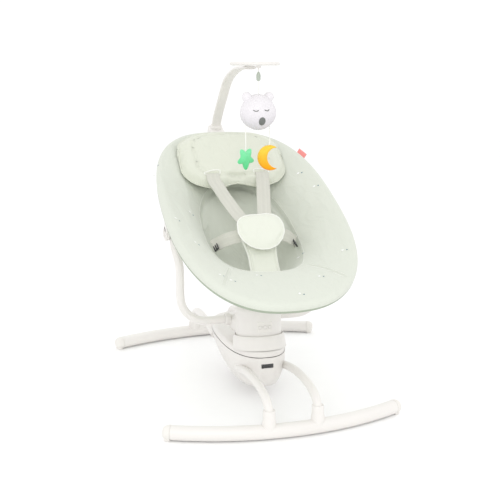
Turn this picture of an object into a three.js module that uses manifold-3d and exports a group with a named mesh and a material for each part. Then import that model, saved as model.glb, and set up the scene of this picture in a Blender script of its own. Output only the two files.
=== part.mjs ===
// A motor-driven baby swing: bowed foot bars, a drive housing, a turning neck with two
// support arms, a reclining oval seat with harness and pillow, and a toy arch with a mobile.
// Millimetres, +Z up, +X to the right of someone facing the foot end, foot end towards -Y.
import * as THREE from 'three';
import { mergeVertices } from 'three/addons/utils/BufferGeometryUtils.js';
import Module from 'manifold-3d';

const wasm = await Module();
wasm.setup();

// ---- driving dimensions ------------------------------------------------------------------
const GAP = 0.35; // between faces that touch
const RAD = Math.PI / 180;

// stand
const BAR_R = 17.5; // foot bar tube radius
const BAR_Z = 19; // its centre line above the floor
const CAP_LENGTH = 20;
const FRONT_BAR = { half: 299, endY: -342, bow: -68 }; // over its end caps
const REAR_BAR = { half: 319, endY: 340, bow: 70 };
const LEG_R = 10.5;
const LEG_X = 60;
const LEG_SOCKET = { r: 14.5, top: 72 }; // upright socket on a foot bar

// drive housing
const HOUSING = { midY: -3, length: 386, width: 164, round: 2.5, seam: 122, keel: 40 };
const HOUSING_WALL = 3.5;
const DECK_TOP = 140;
const WINDOW = { y: -195, z: 101 };
const NECK_Y = -126; // the neck's axis crosses NECK_Z here
const NECK_Z = 109;
const NECK_LEAN = 8; // degrees that the neck's axis leans towards the head end
const NECK_R = 60;
const NECK_LENGTH = 134;
const NECK_WALL = 4;
const COLLAR_TOP = 58; // along the neck's axis from NECK_Z
const SHAFT_R = 10;
// the drive
const SECTOR = { teeth: 48, module: 1.5, z: -34, depth: 8 };
const PINION_TEETH = 12;

// support arms
const ARM_R = 11;
const ARM_Y = -50;
const ARM_Z = 190;
const ARM_X = 194;
const ARM_BEND = 70;

// seat
const RECLINE = 25.5; // degrees from level
const SEAT_Y = -45;
const SEAT_Z = 465;
const RIM = { half: 395, side: 237, round: 2.6 };
const TUBE_IN = 12; // ring tube's centre line inside the rim outline
const RING_R = 10.5;
const BUCKET = { mid: -12, half: 213, side: 118, round: 2.3 };
const FOOT_RISE = 34; // how much higher the bucket's edge is at the foot end
const FABRIC = 10; // thickness of the padded cover
const HUB = { y: -34, z: 428, r: 20, inner: 196, outer: 216 };
const JOINT_HALF = 28; // half length of the block that joins the ring tubes

// toy arch and mobile
const ARCH_ROOT = 432; // along the seat from its middle
const DISC = { y: -79, z: 857, r: 63.5, thick: 9 };
const HANG_Y = -111;
const HOOK_TOP = 851.8;
const CLIP_TOP = 838;
const CLIP_BOTTOM = 815;
const BEAR = { x: -1, z: 739, r: 44 };
const STAR = { x: -33, z: 624, r: 29, turn: 30 };
const MOON = { x: 30, z: 624, r: 32, turn: -32 };

// ---- finishes ----------------------------------------------------------------------------
function finish(color, roughness, metalness = 0) {
  return new THREE.MeshStandardMaterial({ color, roughness, metalness });
}
const whitePlastic = finish('#f1eeea', 0.45);
const whiteEnamel = finish('#efece8', 0.35);
const rubber = finish('#d9d6d0', 0.85);
const steel = finish('#b9bcc0', 0.35, 1);
const brass = finish('#c6a15b', 0.4, 1);
const darkPlastic = finish('#1d1e20', 0.3);
const greyPlastic = finish('#5a5f5c', 0.5);
const boardGreen = finish('#2f6b45', 0.5);
const sageFabric = finish('#c9d2c2', 0.9);
const paleFabric = finish('#d9dfcf', 0.9);
const creamFabric = finish('#e9e9de', 0.9);
const webbing = finish('#cfccc0', 0.85);
const whitePlush = finish('#f2f0ef', 1);
const greenPlush = finish('#35c46c', 0.9);
const yellowPlush = finish('#ffab1a', 0.9);

// ---- geometry helpers --------------------------------------------------------------------
function closed(geometry) {
  // merges shared corners and drops the slivers that poles leave
  const bare = new THREE.BufferGeometry();
  bare.setAttribute('position', geometry.getAttribute('position').clone());
  if (geometry.index) {
    bare.setIndex(geometry.index.clone());
  }
  const merged = mergeVertices(bare, 1e-3);
  const index = merged.index.array;
  const kept = [];
  for (let i = 0; i < index.length; i += 3) {
    const [a, b, c] = [index[i], index[i + 1], index[i + 2]];
    if (a !== b && b !== c && a !== c) {
      kept.push(a, b, c);
    }
  }
  merged.setIndex(kept);
  return merged;
}

function solid(geometry) {
  const merged = closed(geometry);
  return new wasm.Manifold(new wasm.Mesh({
    numProp: 3,
    vertProperties: new Float32Array(merged.getAttribute('position').array),
    triVerts: new Uint32Array(merged.index.array),
  }));
}

function surface(manifold) {
  const mesh = manifold.getMesh();
  const geometry = new THREE.BufferGeometry();
  geometry.setAttribute('position', new THREE.BufferAttribute(mesh.vertProperties, 3));
  geometry.setIndex(new THREE.BufferAttribute(mesh.triVerts, 1));
  return geometry;
}

function joined(...geometries) {
  return surface(geometries.map(solid).reduce((all, next) => all.add(next)));
}

function cut(geometry, ...tools) {
  return surface(tools.map(solid).reduce((all, next) => all.subtract(next), solid(geometry)));
}

function shaped(geometry, place) {
  // stands a closed geometry upright and moves each corner to where place() puts it
  const merged = closed(geometry.rotateX(Math.PI / 2));
  const position = merged.getAttribute('position');
  const corner = new THREE.Vector3();
  for (let i = 0; i < position.count; i += 1) {
    corner.fromBufferAttribute(position, i);
    place(corner);
    position.setXYZ(i, corner.x, corner.y, corner.z);
  }
  return merged;
}

function tube(curve, radius, steps, sides = 12) {
  const section = new THREE.Shape();
  for (let i = 0; i < sides; i += 1) {
    const angle = (i + 0.5) * 2 * Math.PI / sides;
    const corner = [radius * Math.cos(angle), radius * Math.sin(angle)];
    if (i === 0) {
      section.moveTo(...corner);
    } else {
      section.lineTo(...corner);
    }
  }
  section.closePath();
  return new THREE.ExtrudeGeometry(section, { steps, extrudePath: curve, bevelEnabled: false });
}

function through(points) {
  return new THREE.CatmullRomCurve3(points.map((p) => new THREE.Vector3(...p)), false, 'centripetal');
}

function rod(radius, from, to, sides = 20) {
  // upright cylinder between two heights
  const geometry = new THREE.CylinderGeometry(radius, radius, to - from, sides);
  geometry.rotateX(Math.PI / 2);
  geometry.translate(0, 0, (from + to) / 2);
  return geometry;
}

function sideRod(radius, from, to, sides = 20) {
  // cylinder along X between two places
  return rod(radius, from, to, sides).rotateY(Math.PI / 2);
}

function slab(width, depth, height, x = 0, y = 0, z = 0) {
  return new THREE.BoxGeometry(width, depth, height).translate(x, y, z);
}

function turned(points, sides = 32) {
  // a lathe about Z: points are [radius, height], bottom to top
  const profile = points.map(([r, z]) => new THREE.Vector2(r, z));
  return new THREE.LatheGeometry(profile, sides).rotateX(Math.PI / 2);
}

function superellipse(angle, length, width, round) {
  // angle 0 points along +Y, 90 degrees along +X
  const [c, s] = [Math.cos(angle), Math.sin(angle)];
  return {
    x: width * Math.sign(s) * Math.abs(s) ** (2 / round),
    y: length * Math.sign(c) * Math.abs(c) ** (2 / round),
  };
}

function outline(length, width, round, count) {
  const shape = new THREE.Shape();
  for (let i = 0; i < count; i += 1) {
    const p = superellipse(-i * 2 * Math.PI / count, length, width, round);
    if (i === 0) {
      shape.moveTo(p.x, p.y);
    } else {
      shape.lineTo(p.x, p.y);
    }
  }
  shape.closePath();
  return shape;
}

const model = new THREE.Group();
function add(parent, name, geometry, material) {
  const mesh = new THREE.Mesh(geometry, material);
  mesh.name = name;
  parent.add(mesh);
  return mesh;
}
const sides = [['left', -1], ['right', 1]];

// ---- stand -------------------------------------------------------------------------------
function barCurve({ half, endY, bow }) {
  const radius = (half * half + bow * bow) / (2 * Math.abs(bow));
  const sweep = Math.asin(half / radius) - CAP_LENGTH / radius;
  const away = Math.sign(bow);
  const centreY = endY + bow - away * radius;
  class Bar extends THREE.Curve {
    getPoint(t, target = new THREE.Vector3()) {
      const angle = (2 * t - 1) * sweep;
      return target.set(radius * Math.sin(angle), centreY + away * radius * Math.cos(angle), BAR_Z);
    }
  }
  return new Bar();
}

function barYAt({ half, endY, bow }, x) {
  return endY + bow * (1 - (x / half) ** 2);
}

function footBar(bar) {
  const y = barYAt(bar, LEG_X);
  const socket = (x) => rod(LEG_SOCKET.r, BAR_Z, LEG_SOCKET.top, 14).translate(x, y, 0);
  const body = joined(tube(barCurve(bar), BAR_R, 12, 14), socket(-LEG_X), socket(LEG_X));
  return cut(body, legHole(bar, -LEG_X), legHole(bar, LEG_X));
}

function legHole(bar, x) {
  return tube(legCurve(bar, x), LEG_R + 0.6, 12, 10);
}

function footCap(bar, side) {
  // rounded plug over the open end, with the flat pad that the swing stands on
  const curve = barCurve(bar);
  const end = curve.getPoint(side > 0 ? 1 : 0);
  const heading = curve.getTangent(side > 0 ? 1 : 0).multiplyScalar(side);
  const plug = turned([
    [0, GAP], [BAR_R, GAP], [BAR_R, 4], [BAR_R * 0.9, 11], [BAR_R * 0.62, CAP_LENGTH - 3], [0, CAP_LENGTH],
  ], 16).rotateY(Math.PI / 2);
  const pad = slab(14, 20, 8, 8, 0, 4 - BAR_Z);
  return joined(plug, pad).rotateZ(Math.atan2(heading.y, heading.x)).translate(end.x, end.y, BAR_Z);
}

function legCurve(bar, x) {
  // arched forwards or backwards from the housing, upright where it enters the foot bar
  const barY = barYAt(bar, LEG_X);
  const points = bar === FRONT_BAR
    ? [[x, -134, 80], [x, -215, 96], [x, -290, 102], [x, -350, 98], [x, -388, 86], [x, barY + 2, 70]]
    : [[x, 130, 91], [x, 215, 101], [x, 290, 104], [x, 350, 99], [x, 386, 87], [x, barY - 2, 71]];
  return through([...points, [x, barY, 56], [x, barY, 42]]);
}

function hull(inset, bottomInset) {
  // boat-shaped solid below the seam: narrow rounded keel in front, rising to the rear
  const blank = new THREE.CylinderGeometry(1, 1, 1, 32, 5);
  return shaped(blank, (p) => {
    const up = p.z + 0.5;
    const reach = Math.hypot(p.x, p.y);
    const angle = Math.atan2(p.x, p.y);
    const rim = superellipse(angle, HOUSING.length / 2 - inset, HOUSING.width / 2 - inset, HOUSING.round);
    const belly = 0.66 + 0.34 * Math.sin(up * Math.PI / 2) ** 0.8;
    const x = reach * rim.x * belly;
    const y = HOUSING.midY + reach * rim.y * belly - 48 * (1 - up) ** 1.5;
    const keel = HOUSING.keel + bottomInset + 0.00087 * Math.max(0, y + 40) ** 2;
    p.set(x, y, keel + (HOUSING.seam - keel) * up);
  });
}

function lowerHousing() {
  const cavity = hull(HOUSING_WALL, HOUSING_WALL);
  const opener = new THREE.ExtrudeGeometry(
    outline(HOUSING.length / 2 - HOUSING_WALL, HOUSING.width / 2 - HOUSING_WALL, HOUSING.round, 36),
    { depth: 4, bevelEnabled: false },
  ).translate(0, HOUSING.midY, HOUSING.seam - 1);
  const window = slab(32.6, 16, 11.6, 0, WINDOW.y, WINDOW.z);
  const legHoles = [FRONT_BAR, REAR_BAR].flatMap((bar) => [legHole(bar, -LEG_X), legHole(bar, LEG_X)]);
  return cut(hull(0, 0), joined(cavity, opener), window, ...legHoles);
}

function neckFrame(geometry) {
  // from the neck's own axis to the model: the axis leans towards the head end
  return geometry.rotateX(-NECK_LEAN * RAD).translate(0, NECK_Y, NECK_Z);
}

function upperHousing() {
  const floor = HOUSING.seam + 1.6;
  const deck = new THREE.ExtrudeGeometry(
    outline(HOUSING.length / 2 - 7, HOUSING.width / 2 - 7, HOUSING.round, 36),
    { depth: DECK_TOP - floor - 12, bevelEnabled: true, bevelThickness: 6, bevelSize: 6, bevelSegments: 2 },
  ).translate(0, HOUSING.midY, floor + 6);
  const collar = neckFrame(turned([
    [0, 6], [NECK_R + 9, 6], [NECK_R + 9, 22], [NECK_R + 6, COLLAR_TOP - 2],
    [NECK_R + 4.5, COLLAR_TOP], [0, COLLAR_TOP],
  ]));
  const below = slab(400, 600, 60, 0, 0, floor - 30);
  const inside = new THREE.ExtrudeGeometry(
    outline(HOUSING.length / 2 - 6, HOUSING.width / 2 - 6, HOUSING.round, 36),
    { depth: DECK_TOP - floor, bevelEnabled: false },
  ).translate(0, HOUSING.midY, floor - HOUSING_WALL);
  const bore = NECK_R + 0.8;
  const throat = neckFrame(turned([[0, -20], [bore, -20], [bore, COLLAR_TOP + 5], [0, COLLAR_TOP + 5]]));
  return cut(joined(deck, collar), below, inside, throat);
}

function displayWindow() {
  return slab(32, 7, 11, 0, WINDOW.y, WINDOW.z);
}

function buildStand() {
  for (const [end, bar] of [['front', FRONT_BAR], ['rear', REAR_BAR]]) {
    add(model, `${end}_foot_bar`, footBar(bar), whiteEnamel);
    for (const [side, sign] of sides) {
      add(model, `${end}_${side}_foot_cap`, footCap(bar, sign), rubber);
      add(model, `${end}_${side}_leg`, tube(legCurve(bar, sign * LEG_X), LEG_R, 12, 10), whiteEnamel);
    }
  }
  add(model, 'lower_housing', lowerHousing(), whitePlastic);
  add(model, 'upper_housing', upperHousing(), whitePlastic);
  add(model, 'display_window', displayWindow(), darkPlastic);
}

// ---- drive -------------------------------------------------------------------------------
function gear(teeth, module, depth, bore, from, to) {
  // spur gear outline from tooth number `from` to tooth number `to`; a part gear closes as a sector
  const pitch = teeth * module / 2;
  const [tip, root] = [pitch + 0.8 * module, pitch - 1.2 * module];
  const step = 2 * Math.PI / teeth;
  const shape = new THREE.Shape();
  const polar = (r, a) => [r * Math.cos(a), r * Math.sin(a)];
  let first = true;
  const corner = (r, a) => {
    if (first) {
      shape.moveTo(...polar(r, a));
    } else {
      shape.lineTo(...polar(r, a));
    }
    first = false;
  };
  for (let i = from; i <= to; i += 1) {
    const middle = i * step;
    corner(root, middle - 0.31 * step);
    corner(tip, middle - 0.1 * step);
    corner(tip, middle + 0.1 * step);
    corner(root, middle + 0.31 * step);
  }
  if (to - from + 1 < teeth) {
    const hub = bore + 7;
    for (let a = to * step + 0.6; a < from * step + 2 * Math.PI - 0.5; a += 0.3) {
      corner(hub, a);
    }
  }
  shape.closePath();
  const hole = new THREE.Path();
  hole.absarc(0, 0, bore, 0, 2 * Math.PI, true);
  shape.holes.push(hole);
  return new THREE.ExtrudeGeometry(shape, { depth, bevelEnabled: false, curveSegments: 10 });
}

function buildDrive(swing) {
  const distance = (SECTOR.teeth + PINION_TEETH) * SECTOR.module / 2;
  const span = 7;
  // the sector's middle tooth points at the pinion, which has a tooth gap there
  const sector = gear(SECTOR.teeth, SECTOR.module, SECTOR.depth, SHAFT_R + GAP, -span, span);
  sector.rotateZ(Math.PI / 2).translate(0, 0, SECTOR.z);
  add(swing, 'sector_gear', sector, brass);
  const pinion = gear(PINION_TEETH, SECTOR.module, SECTOR.depth + 2, 3 + GAP, 0, PINION_TEETH - 1);
  pinion.rotateZ(-Math.PI / 2 + Math.PI / PINION_TEETH).translate(0, distance, SECTOR.z - 1);
  add(swing, 'drive_pinion', pinion, brass);
  const motor = joined(
    rod(19, SECTOR.z - 22, SECTOR.z - 4, 20),
    rod(3, SECTOR.z - 6, SECTOR.z + SECTOR.depth + 3, 12),
  );
  add(swing, 'drive_motor', motor.translate(0, distance, 0), steel);
  add(swing, 'swing_shaft', rod(SHAFT_R, -60, 60), steel);
  const bearing = (z) => cut(rod(17, z, z + 10), rod(SHAFT_R + 0.15, z - 1, z + 11));
  add(swing, 'lower_bearing', bearing(-58), steel);
  add(swing, 'upper_bearing', cut(rod(30, 2, 10), rod(SHAFT_R + 0.15, 1, 11)), steel);
  add(model, 'circuit_board', slab(70, 52, 2, 0, 90, 92), boardGreen);
  const cone = turned([[0, 0], [14, 0], [14, 6], [25, 14], [25, 17], [0, 17]], 20);
  add(model, 'speaker', cone.translate(0, 84, 72), darkPlastic);
}

// ---- neck and support arms ---------------------------------------------------------------
function arcPlate(inner, outer, halfAngle, from, to) {
  // curved plate about the neck's axis, facing the foot end
  const shape = new THREE.Shape();
  shape.absarc(0, 0, outer, -Math.PI / 2 - halfAngle, -Math.PI / 2 + halfAngle, false);
  shape.absarc(0, 0, inner, -Math.PI / 2 + halfAngle, -Math.PI / 2 - halfAngle, true);
  shape.closePath();
  return new THREE.ExtrudeGeometry(shape, { depth: to - from, bevelEnabled: false, curveSegments: 8 })
    .translate(0, 0, from);
}

const PANEL = { half: 22 * RAD, from: 66, to: 96, thick: 3.6 };
const BUTTON_R = 4.6;
const BUTTON_ANGLES = [-12, 0, 12];

function radialRod(radius, from, to, angle) {
  return rod(radius, from, to, 14).rotateX(Math.PI / 2).rotateZ(angle * RAD).translate(0, 0, (PANEL.from + PANEL.to) / 2);
}

function armCurve(sign) {
  const at = (x, y, z) => new THREE.Vector3(sign * x, y, z);
  const bendX = ARM_X - ARM_BEND;
  const bendZ = ARM_Z + ARM_BEND;
  const points = [at(40, ARM_Y, ARM_Z), at(80, ARM_Y, ARM_Z), at(bendX, ARM_Y, ARM_Z)];
  for (const turn of [18, 36, 54, 72, 90]) {
    points.push(at(bendX + ARM_BEND * Math.sin(turn * RAD), ARM_Y, bendZ - ARM_BEND * Math.cos(turn * RAD)));
  }
  points.push(at(ARM_X, ARM_Y, 300), at(ARM_X + 1, ARM_Y + 2, 345));
  points.push(at(ARM_X + 8, ARM_Y + 10, 380), at(ARM_X + 10, HUB.y, HUB.z - HUB.r - 2));
  return new THREE.CatmullRomCurve3(points, false, 'centripetal');
}

function armHub() {
  // bearing disc for the recline pin, with a sleeve over the arm's end
  const sleeve = through([[ARM_X + 8.6, ARM_Y + 11.5, 386], [ARM_X + 10, HUB.y, HUB.z - 8]]);
  const disc = sideRod(HUB.r, HUB.inner, HUB.outer, 24).translate(0, HUB.y, HUB.z);
  const bore = sideRod(PIN_R + 0.1, HUB.inner - 1, HUB.outer + 1, 16).translate(0, HUB.y, HUB.z);
  return cut(joined(disc, tube(sleeve, 12.6, 2, 12)), bore, tube(armCurve(1), ARM_R + 0.6, 22, 10));
}

function neckShell() {
  const body = turned([
    [0, 14], [NECK_R, 14], [NECK_R, NECK_LENGTH - 14], [NECK_R - 5, NECK_LENGTH - 4],
    [NECK_R - 16, NECK_LENGTH], [0, NECK_LENGTH],
  ], 40);
  const yoke = slab(120, 62, 39, 0, 50, 79.5);
  const inner = NECK_R - NECK_WALL;
  const hollow = turned([
    [0, 0], [inner, 0], [inner, NECK_LENGTH - 16], [inner - 14, NECK_LENGTH - NECK_WALL], [0, NECK_LENGTH - NECK_WALL],
  ], 40);
  const yokeHollow = slab(108, 50, 28, 0, 50, 79.5);
  const panelGap = arcPlate(50, NECK_R + 5, PANEL.half + 0.006, PANEL.from - GAP, PANEL.to + GAP);
  const shell = cut(joined(body, yoke), joined(hollow, yokeHollow), panelGap);
  const armBore = sideRod(ARM_R + 1, -80, 80, 12).translate(0, ARM_Y, ARM_Z);
  armBore.translate(0, -NECK_Y, -NECK_Z).rotateX(NECK_LEAN * RAD);
  return cut(shell, armBore);
}

function buildNeck(swing) {
  add(swing, 'neck_shell', neckShell(), whitePlastic);
  const holes = BUTTON_ANGLES.map((angle) => radialRod(BUTTON_R + GAP, 50, NECK_R + 5, angle));
  const plate = arcPlate(NECK_R - PANEL.thick, NECK_R + 0.4, PANEL.half, PANEL.from, PANEL.to);
  add(swing, 'control_panel', cut(plate, ...holes), greyPlastic);
  ['power', 'speed', 'timer'].forEach((job, i) => {
    const button = radialRod(BUTTON_R, NECK_R - PANEL.thick - 1, NECK_R + 2, BUTTON_ANGLES[i]);
    add(swing, `${job}_button`, button, whitePlastic);
  });
  for (const [side, sign] of sides) {
    add(model, `support_arm_${side}`, tube(armCurve(sign), ARM_R, 22, 10), whiteEnamel);
    add(model, `arm_hub_${side}`, sign > 0 ? armHub() : mirrored(armHub()), whitePlastic);
  }
}

// ---- seat --------------------------------------------------------------------------------
function rimHeight(x, y) {
  return 20 * (y / RIM.half) ** 2 + 28 * (x / RIM.side) ** 2;
}

class RingCurve extends THREE.Curve {
  constructor(headEnd) {
    super();
    this.headEnd = headEnd;
  }

  getPoint(t, target = new THREE.Vector3()) {
    const half = RIM.half - TUBE_IN;
    const quarter = Math.acos((JOINT_HALF / half) ** (RIM.round / 2));
    const angle = (2 * t - 1) * quarter;
    const p = superellipse(angle, half, RIM.side - TUBE_IN, RIM.round);
    const y = (this.headEnd ? 1 : -1) * p.y;
    return target.set(p.x, y + (this.headEnd ? GAP : -GAP), rimHeight(p.x, p.y));
  }
}

function smooth(share) {
  const t = Math.min(1, Math.max(0, share));
  return t * t * (3 - 2 * t);
}

function coverTop(reach, angle) {
  // reach 0 is the bucket's middle, 1 its edge seam, 2 the rim
  const edge = superellipse(angle, BUCKET.half, BUCKET.side, BUCKET.round);
  const rim = superellipse(angle, RIM.half, RIM.side, RIM.round);
  edge.y += BUCKET.mid;
  const edgeZ = -56 + 16 * Math.cos(angle) ** 2 + FOOT_RISE * Math.max(0, -Math.cos(angle)) ** 2;
  if (reach <= 1) {
    const y = BUCKET.mid + (edge.y - BUCKET.mid) * reach;
    const floor = -120 + 56 * smooth((y + 50) / 230);
    return { x: edge.x * reach, y, z: floor + (edgeZ - floor) * reach ** 4 };
  }
  const out = reach - 1;
  const [x, y] = [edge.x + (rim.x - edge.x) * out, edge.y + (rim.y - edge.y) * out];
  return { x, y, z: edgeZ + (rimHeight(rim.x, rim.y) - edgeZ) * out ** 0.9 };
}

function seatCover() {
  const rings = [0, 0.3, 0.55, 0.75, 0.9, 1, 1.3, 1.55, 1.78];
  const under = rings.map((r) => new THREE.Vector2(r, 0));
  const over = rings.map((r) => new THREE.Vector2(r, 1)).reverse();
  return shaped(new THREE.LatheGeometry([...under, ...over], 32), (p) => {
    const top = coverTop(Math.hypot(p.x, p.y), Math.atan2(p.x, p.y));
    p.set(top.x, top.y, top.z - (p.z < 0.5 ? FABRIC : 0));
  });
}

function pillow() {
  // three-lobed head pillow lying on the head end of the cover
  return shaped(new THREE.SphereGeometry(1, 24, 12), (p) => {
    const lobe = superellipse(Math.atan2(p.x, p.y), 1, 1, 2.8);
    const reach = Math.hypot(p.x, p.y);
    const x = lobe.x * reach * PILLOW.half;
    const y = PILLOW.y + lobe.y * reach * (p.y < 0 ? 94 + 16 * Math.sin(Math.abs(p.x) * Math.PI) : 108);
    const rest = pillowRest(y);
    const swell = 30 * Math.sqrt(Math.max(0, 1 - reach ** 4));
    p.set(x, y, rest + (p.z > 0 ? swell * 0.7 : -Math.min(9, swell * 0.5)));
  });
}

function pillowRest(y) {
  // height of the pillow's edge seam, which climbs towards the head end
  return PILLOW.low + PILLOW.climb * (y - PILLOW.y);
}

function toSeat(y, z) {
  // a place on the model's mid-plane, in the seat's own frame
  const [dy, dz] = [y - SEAT_Y, z - SEAT_Z];
  const [c, s] = [Math.cos(RECLINE * RAD), Math.sin(RECLINE * RAD)];
  return { y: dy * c + dz * s, z: -dy * s + dz * c };
}

const LUG = { inner: 218.5, outer: 229.5 };
const PIN_R = 5;
const RECLINE_BUTTON = { r: 9.2, from: 226.5, to: 233 };

function ringJoint(sign) {
  // block that takes the ring tubes' ends, with a lug and a pin for the recline hinge
  const tubeX = RIM.side - TUBE_IN;
  const pivot = toSeat(HUB.y, HUB.z);
  const blockZ = rimHeight(tubeX, 0);
  const block = slab(24, 2 * JOINT_HALF - 2 * GAP, 24, tubeX, 0, blockZ);
  const lug = joined(
    sideRod(19, LUG.inner, LUG.outer, 24).translate(0, pivot.y, pivot.z),
    slab(LUG.outer - LUG.inner, 30, blockZ - pivot.z, (LUG.inner + LUG.outer) / 2, pivot.y, (blockZ + pivot.z) / 2),
  );
  const pin = sideRod(PIN_R, HUB.inner - 2, LUG.inner + 2, 16).translate(0, pivot.y, pivot.z);
  const recess = sideRod(RECLINE_BUTTON.r + 0.4, LUG.outer - 5.5, LUG.outer + 1, 20).translate(0, pivot.y, pivot.z);
  const whole = cut(joined(block, lug, pin), recess);
  return sign > 0 ? whole : mirrored(whole);
}

function mirrored(geometry) {
  // the same piece on the other side of the mid-plane
  const flipped = closed(geometry).scale(-1, 1, 1);
  const index = flipped.index.array;
  for (let i = 0; i < index.length; i += 3) {
    [index[i], index[i + 1]] = [index[i + 1], index[i]];
  }
  return flipped;
}

function strip(from, to, width, thick, facing) {
  // flat webbing between two places, its face turned towards `facing`
  const [a, b] = [new THREE.Vector3(...from), new THREE.Vector3(...to)];
  const along = b.clone().sub(a);
  const length = along.length();
  along.normalize();
  const across = new THREE.Vector3(...facing).cross(along).normalize();
  const up = along.clone().cross(across);
  const basis = new THREE.Matrix4().makeBasis(along, across, up).setPosition(a.add(b).multiplyScalar(0.5));
  return slab(length, width, thick).applyMatrix4(basis);
}

const STRAP = { width: 32, thick: 2.4 };
const BUCKLE = { y: -84, z: 3, width: 46, length: 40, thick: 12 };
const PILLOW = { y: 238, half: 163, low: 22, climb: 0.28 };
const SHIELD = { x: 3, y: -88, z: 19, width: 124, length: 106, thick: 9, tilt: 17 };
const CROTCH = { y: -131, z: -35, foot: 76, wing: 84, length: 94, thick: 8, tilt: 33 };

function shield() {
  // rounded triangular pad over the buckle
  return shaped(new THREE.SphereGeometry(1, 20, 8), (p) => {
    const taper = 1 - 0.22 * Math.max(0, -p.y);
    p.set(
      p.x * SHIELD.width / 2 * taper,
      p.y * SHIELD.length / 2,
      Math.sign(p.z) * Math.abs(p.z) ** 0.6 * SHIELD.thick / 2,
    );
  }).rotateX(SHIELD.tilt * RAD).translate(SHIELD.x, SHIELD.y, SHIELD.z);
}

function crotchPad() {
  // T-shaped pad: narrow where it leaves the bucket's front, winged under the buckle
  const half = CROTCH.length / 2;
  const [foot, wing] = [CROTCH.foot / 2, CROTCH.wing / 2];
  const shape = new THREE.Shape();
  shape.moveTo(-foot, -half);
  shape.lineTo(foot, -half);
  shape.lineTo(foot, 0);
  shape.quadraticCurveTo(foot, half * 0.5, wing, half * 0.7);
  shape.lineTo(wing, half);
  shape.lineTo(-wing, half);
  shape.lineTo(-wing, half * 0.7);
  shape.quadraticCurveTo(-foot, half * 0.5, -foot, 0);
  shape.closePath();
  return new THREE.ExtrudeGeometry(shape, { depth: CROTCH.thick, bevelEnabled: false, curveSegments: 5 })
    .rotateX(CROTCH.tilt * RAD).translate(0, CROTCH.y, CROTCH.z - CROTCH.thick);
}

function buildHarness(seat) {
  const tabTop = BUCKLE.y + BUCKLE.length / 2 + GAP;
  const body = slab(BUCKLE.width, BUCKLE.length, BUCKLE.thick, 0, BUCKLE.y, BUCKLE.z);
  const well = slab(17, 13, 8, 0, BUCKLE.y - 4, BUCKLE.z + BUCKLE.thick / 2 - 2.5);
  add(seat, 'buckle', cut(body, well), whitePlastic);
  const buttonTop = BUCKLE.z + BUCKLE.thick / 2 + 0.6;
  add(seat, 'buckle_button', slab(16, 12, 3.4, 0, BUCKLE.y - 4, buttonTop - 1.7), greyPlastic);
  add(seat, 'buckle_shield', shield(), creamFabric);
  add(seat, 'crotch_pad', crotchPad(), creamFabric);
  for (const [side, sign] of sides) {
    const slot = [sign * 70, 156, 22];
    const shoulder = strip(slot, [sign * 15, tabTop + 13, 4], STRAP.width - 2, STRAP.thick, [0, 0, 1]);
    add(seat, `shoulder_strap_${side}`, shoulder, webbing);
    const inner = [sign * (BUCKLE.width / 2 + 6), BUCKLE.y - 2, 1];
    const outer = [sign * 102, BUCKLE.y + 18, -40];
    add(seat, `waist_strap_${side}`, strip(outer, inner, 26, STRAP.thick, [0, 0.1, 1]), webbing);
    const [near, far] = [[sign * 103.5, BUCKLE.y + 18.5, -41], [sign * 109, BUCKLE.y + 20, -45.5]];
    add(seat, `waist_adjuster_${side}`, strip(near, far, 34, 5, [0, 0.1, 1]), darkPlastic);
  }
}

const SOCKET = { from: 397.5, to: 450, bottom: -8, top: 22, width: 44, bore: 10 };

function buildArch(seat) {
  const arch = new THREE.Group();
  const middle = (SOCKET.from + SOCKET.to) / 2;
  const block = slab(SOCKET.width, SOCKET.to - SOCKET.from, SOCKET.top - SOCKET.bottom, 0, middle,
    (SOCKET.top + SOCKET.bottom) / 2);
  const bore = rod(SOCKET.bore, SOCKET.bottom - 5, SOCKET.top + 5).translate(0, ARCH_ROOT, 0);
  add(seat, 'arch_socket', cut(block, bore), whitePlastic);
  const tip = [toSeat(82, 843), toSeat(0, 847.2), toSeat(-40, 847.3)];
  const route = through([
    [0, ARCH_ROOT, SOCKET.top + 4], [0, ARCH_ROOT - 1, 48], [0, 400, 130], [0, 361, 212],
    ...tip.map((p) => [0, p.y, p.z]),
  ]);
  const section = outline(4.5, 14, 5, 8);
  const blade = new THREE.ExtrudeGeometry(section, { steps: 18, extrudePath: route, bevelEnabled: false });
  const peg = turned([
    [0, SOCKET.bottom + 2], [9.6, SOCKET.bottom + 2], [9.6, SOCKET.top + GAP], [17, SOCKET.top + GAP],
    [17, SOCKET.top + 8], [0, SOCKET.top + 8],
  ], 24).translate(0, ARCH_ROOT, 0);
  add(arch, 'toy_arch', joined(blade, peg), whitePlastic);
  seat.add(arch);
}

function buildMobile() {
  const { y, z, r, thick } = DISC;
  const bottom = z - thick / 2;
  const rimmed = [[0, 0], [r - 7, 0], [r - 1.5, 2], [r, thick / 2], [r - 1.5, thick - 2], [r - 7, thick], [0, thick]];
  add(model, 'mobile_disc', turned(rimmed, 36).translate(0, y, bottom), whitePlastic);
  const hook = [[0, CLIP_TOP + 0.9], [1.2, CLIP_TOP + 0.9], [1.8, 845], [6, 847], [6, bottom - GAP], [0, bottom - GAP]];
  add(model, 'mobile_hook', turned(hook, 16).translate(0, HANG_Y, 0), whitePlastic);
  const clip = [[0, CLIP_BOTTOM], [3, CLIP_BOTTOM], [5.5, CLIP_BOTTOM + 4], [5.5, CLIP_TOP - 8], [1.2, CLIP_TOP], [0, CLIP_TOP]];
  add(model, 'mobile_clip', turned(clip, 12).translate(0, HANG_Y, 0), greyPlastic);
}

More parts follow.
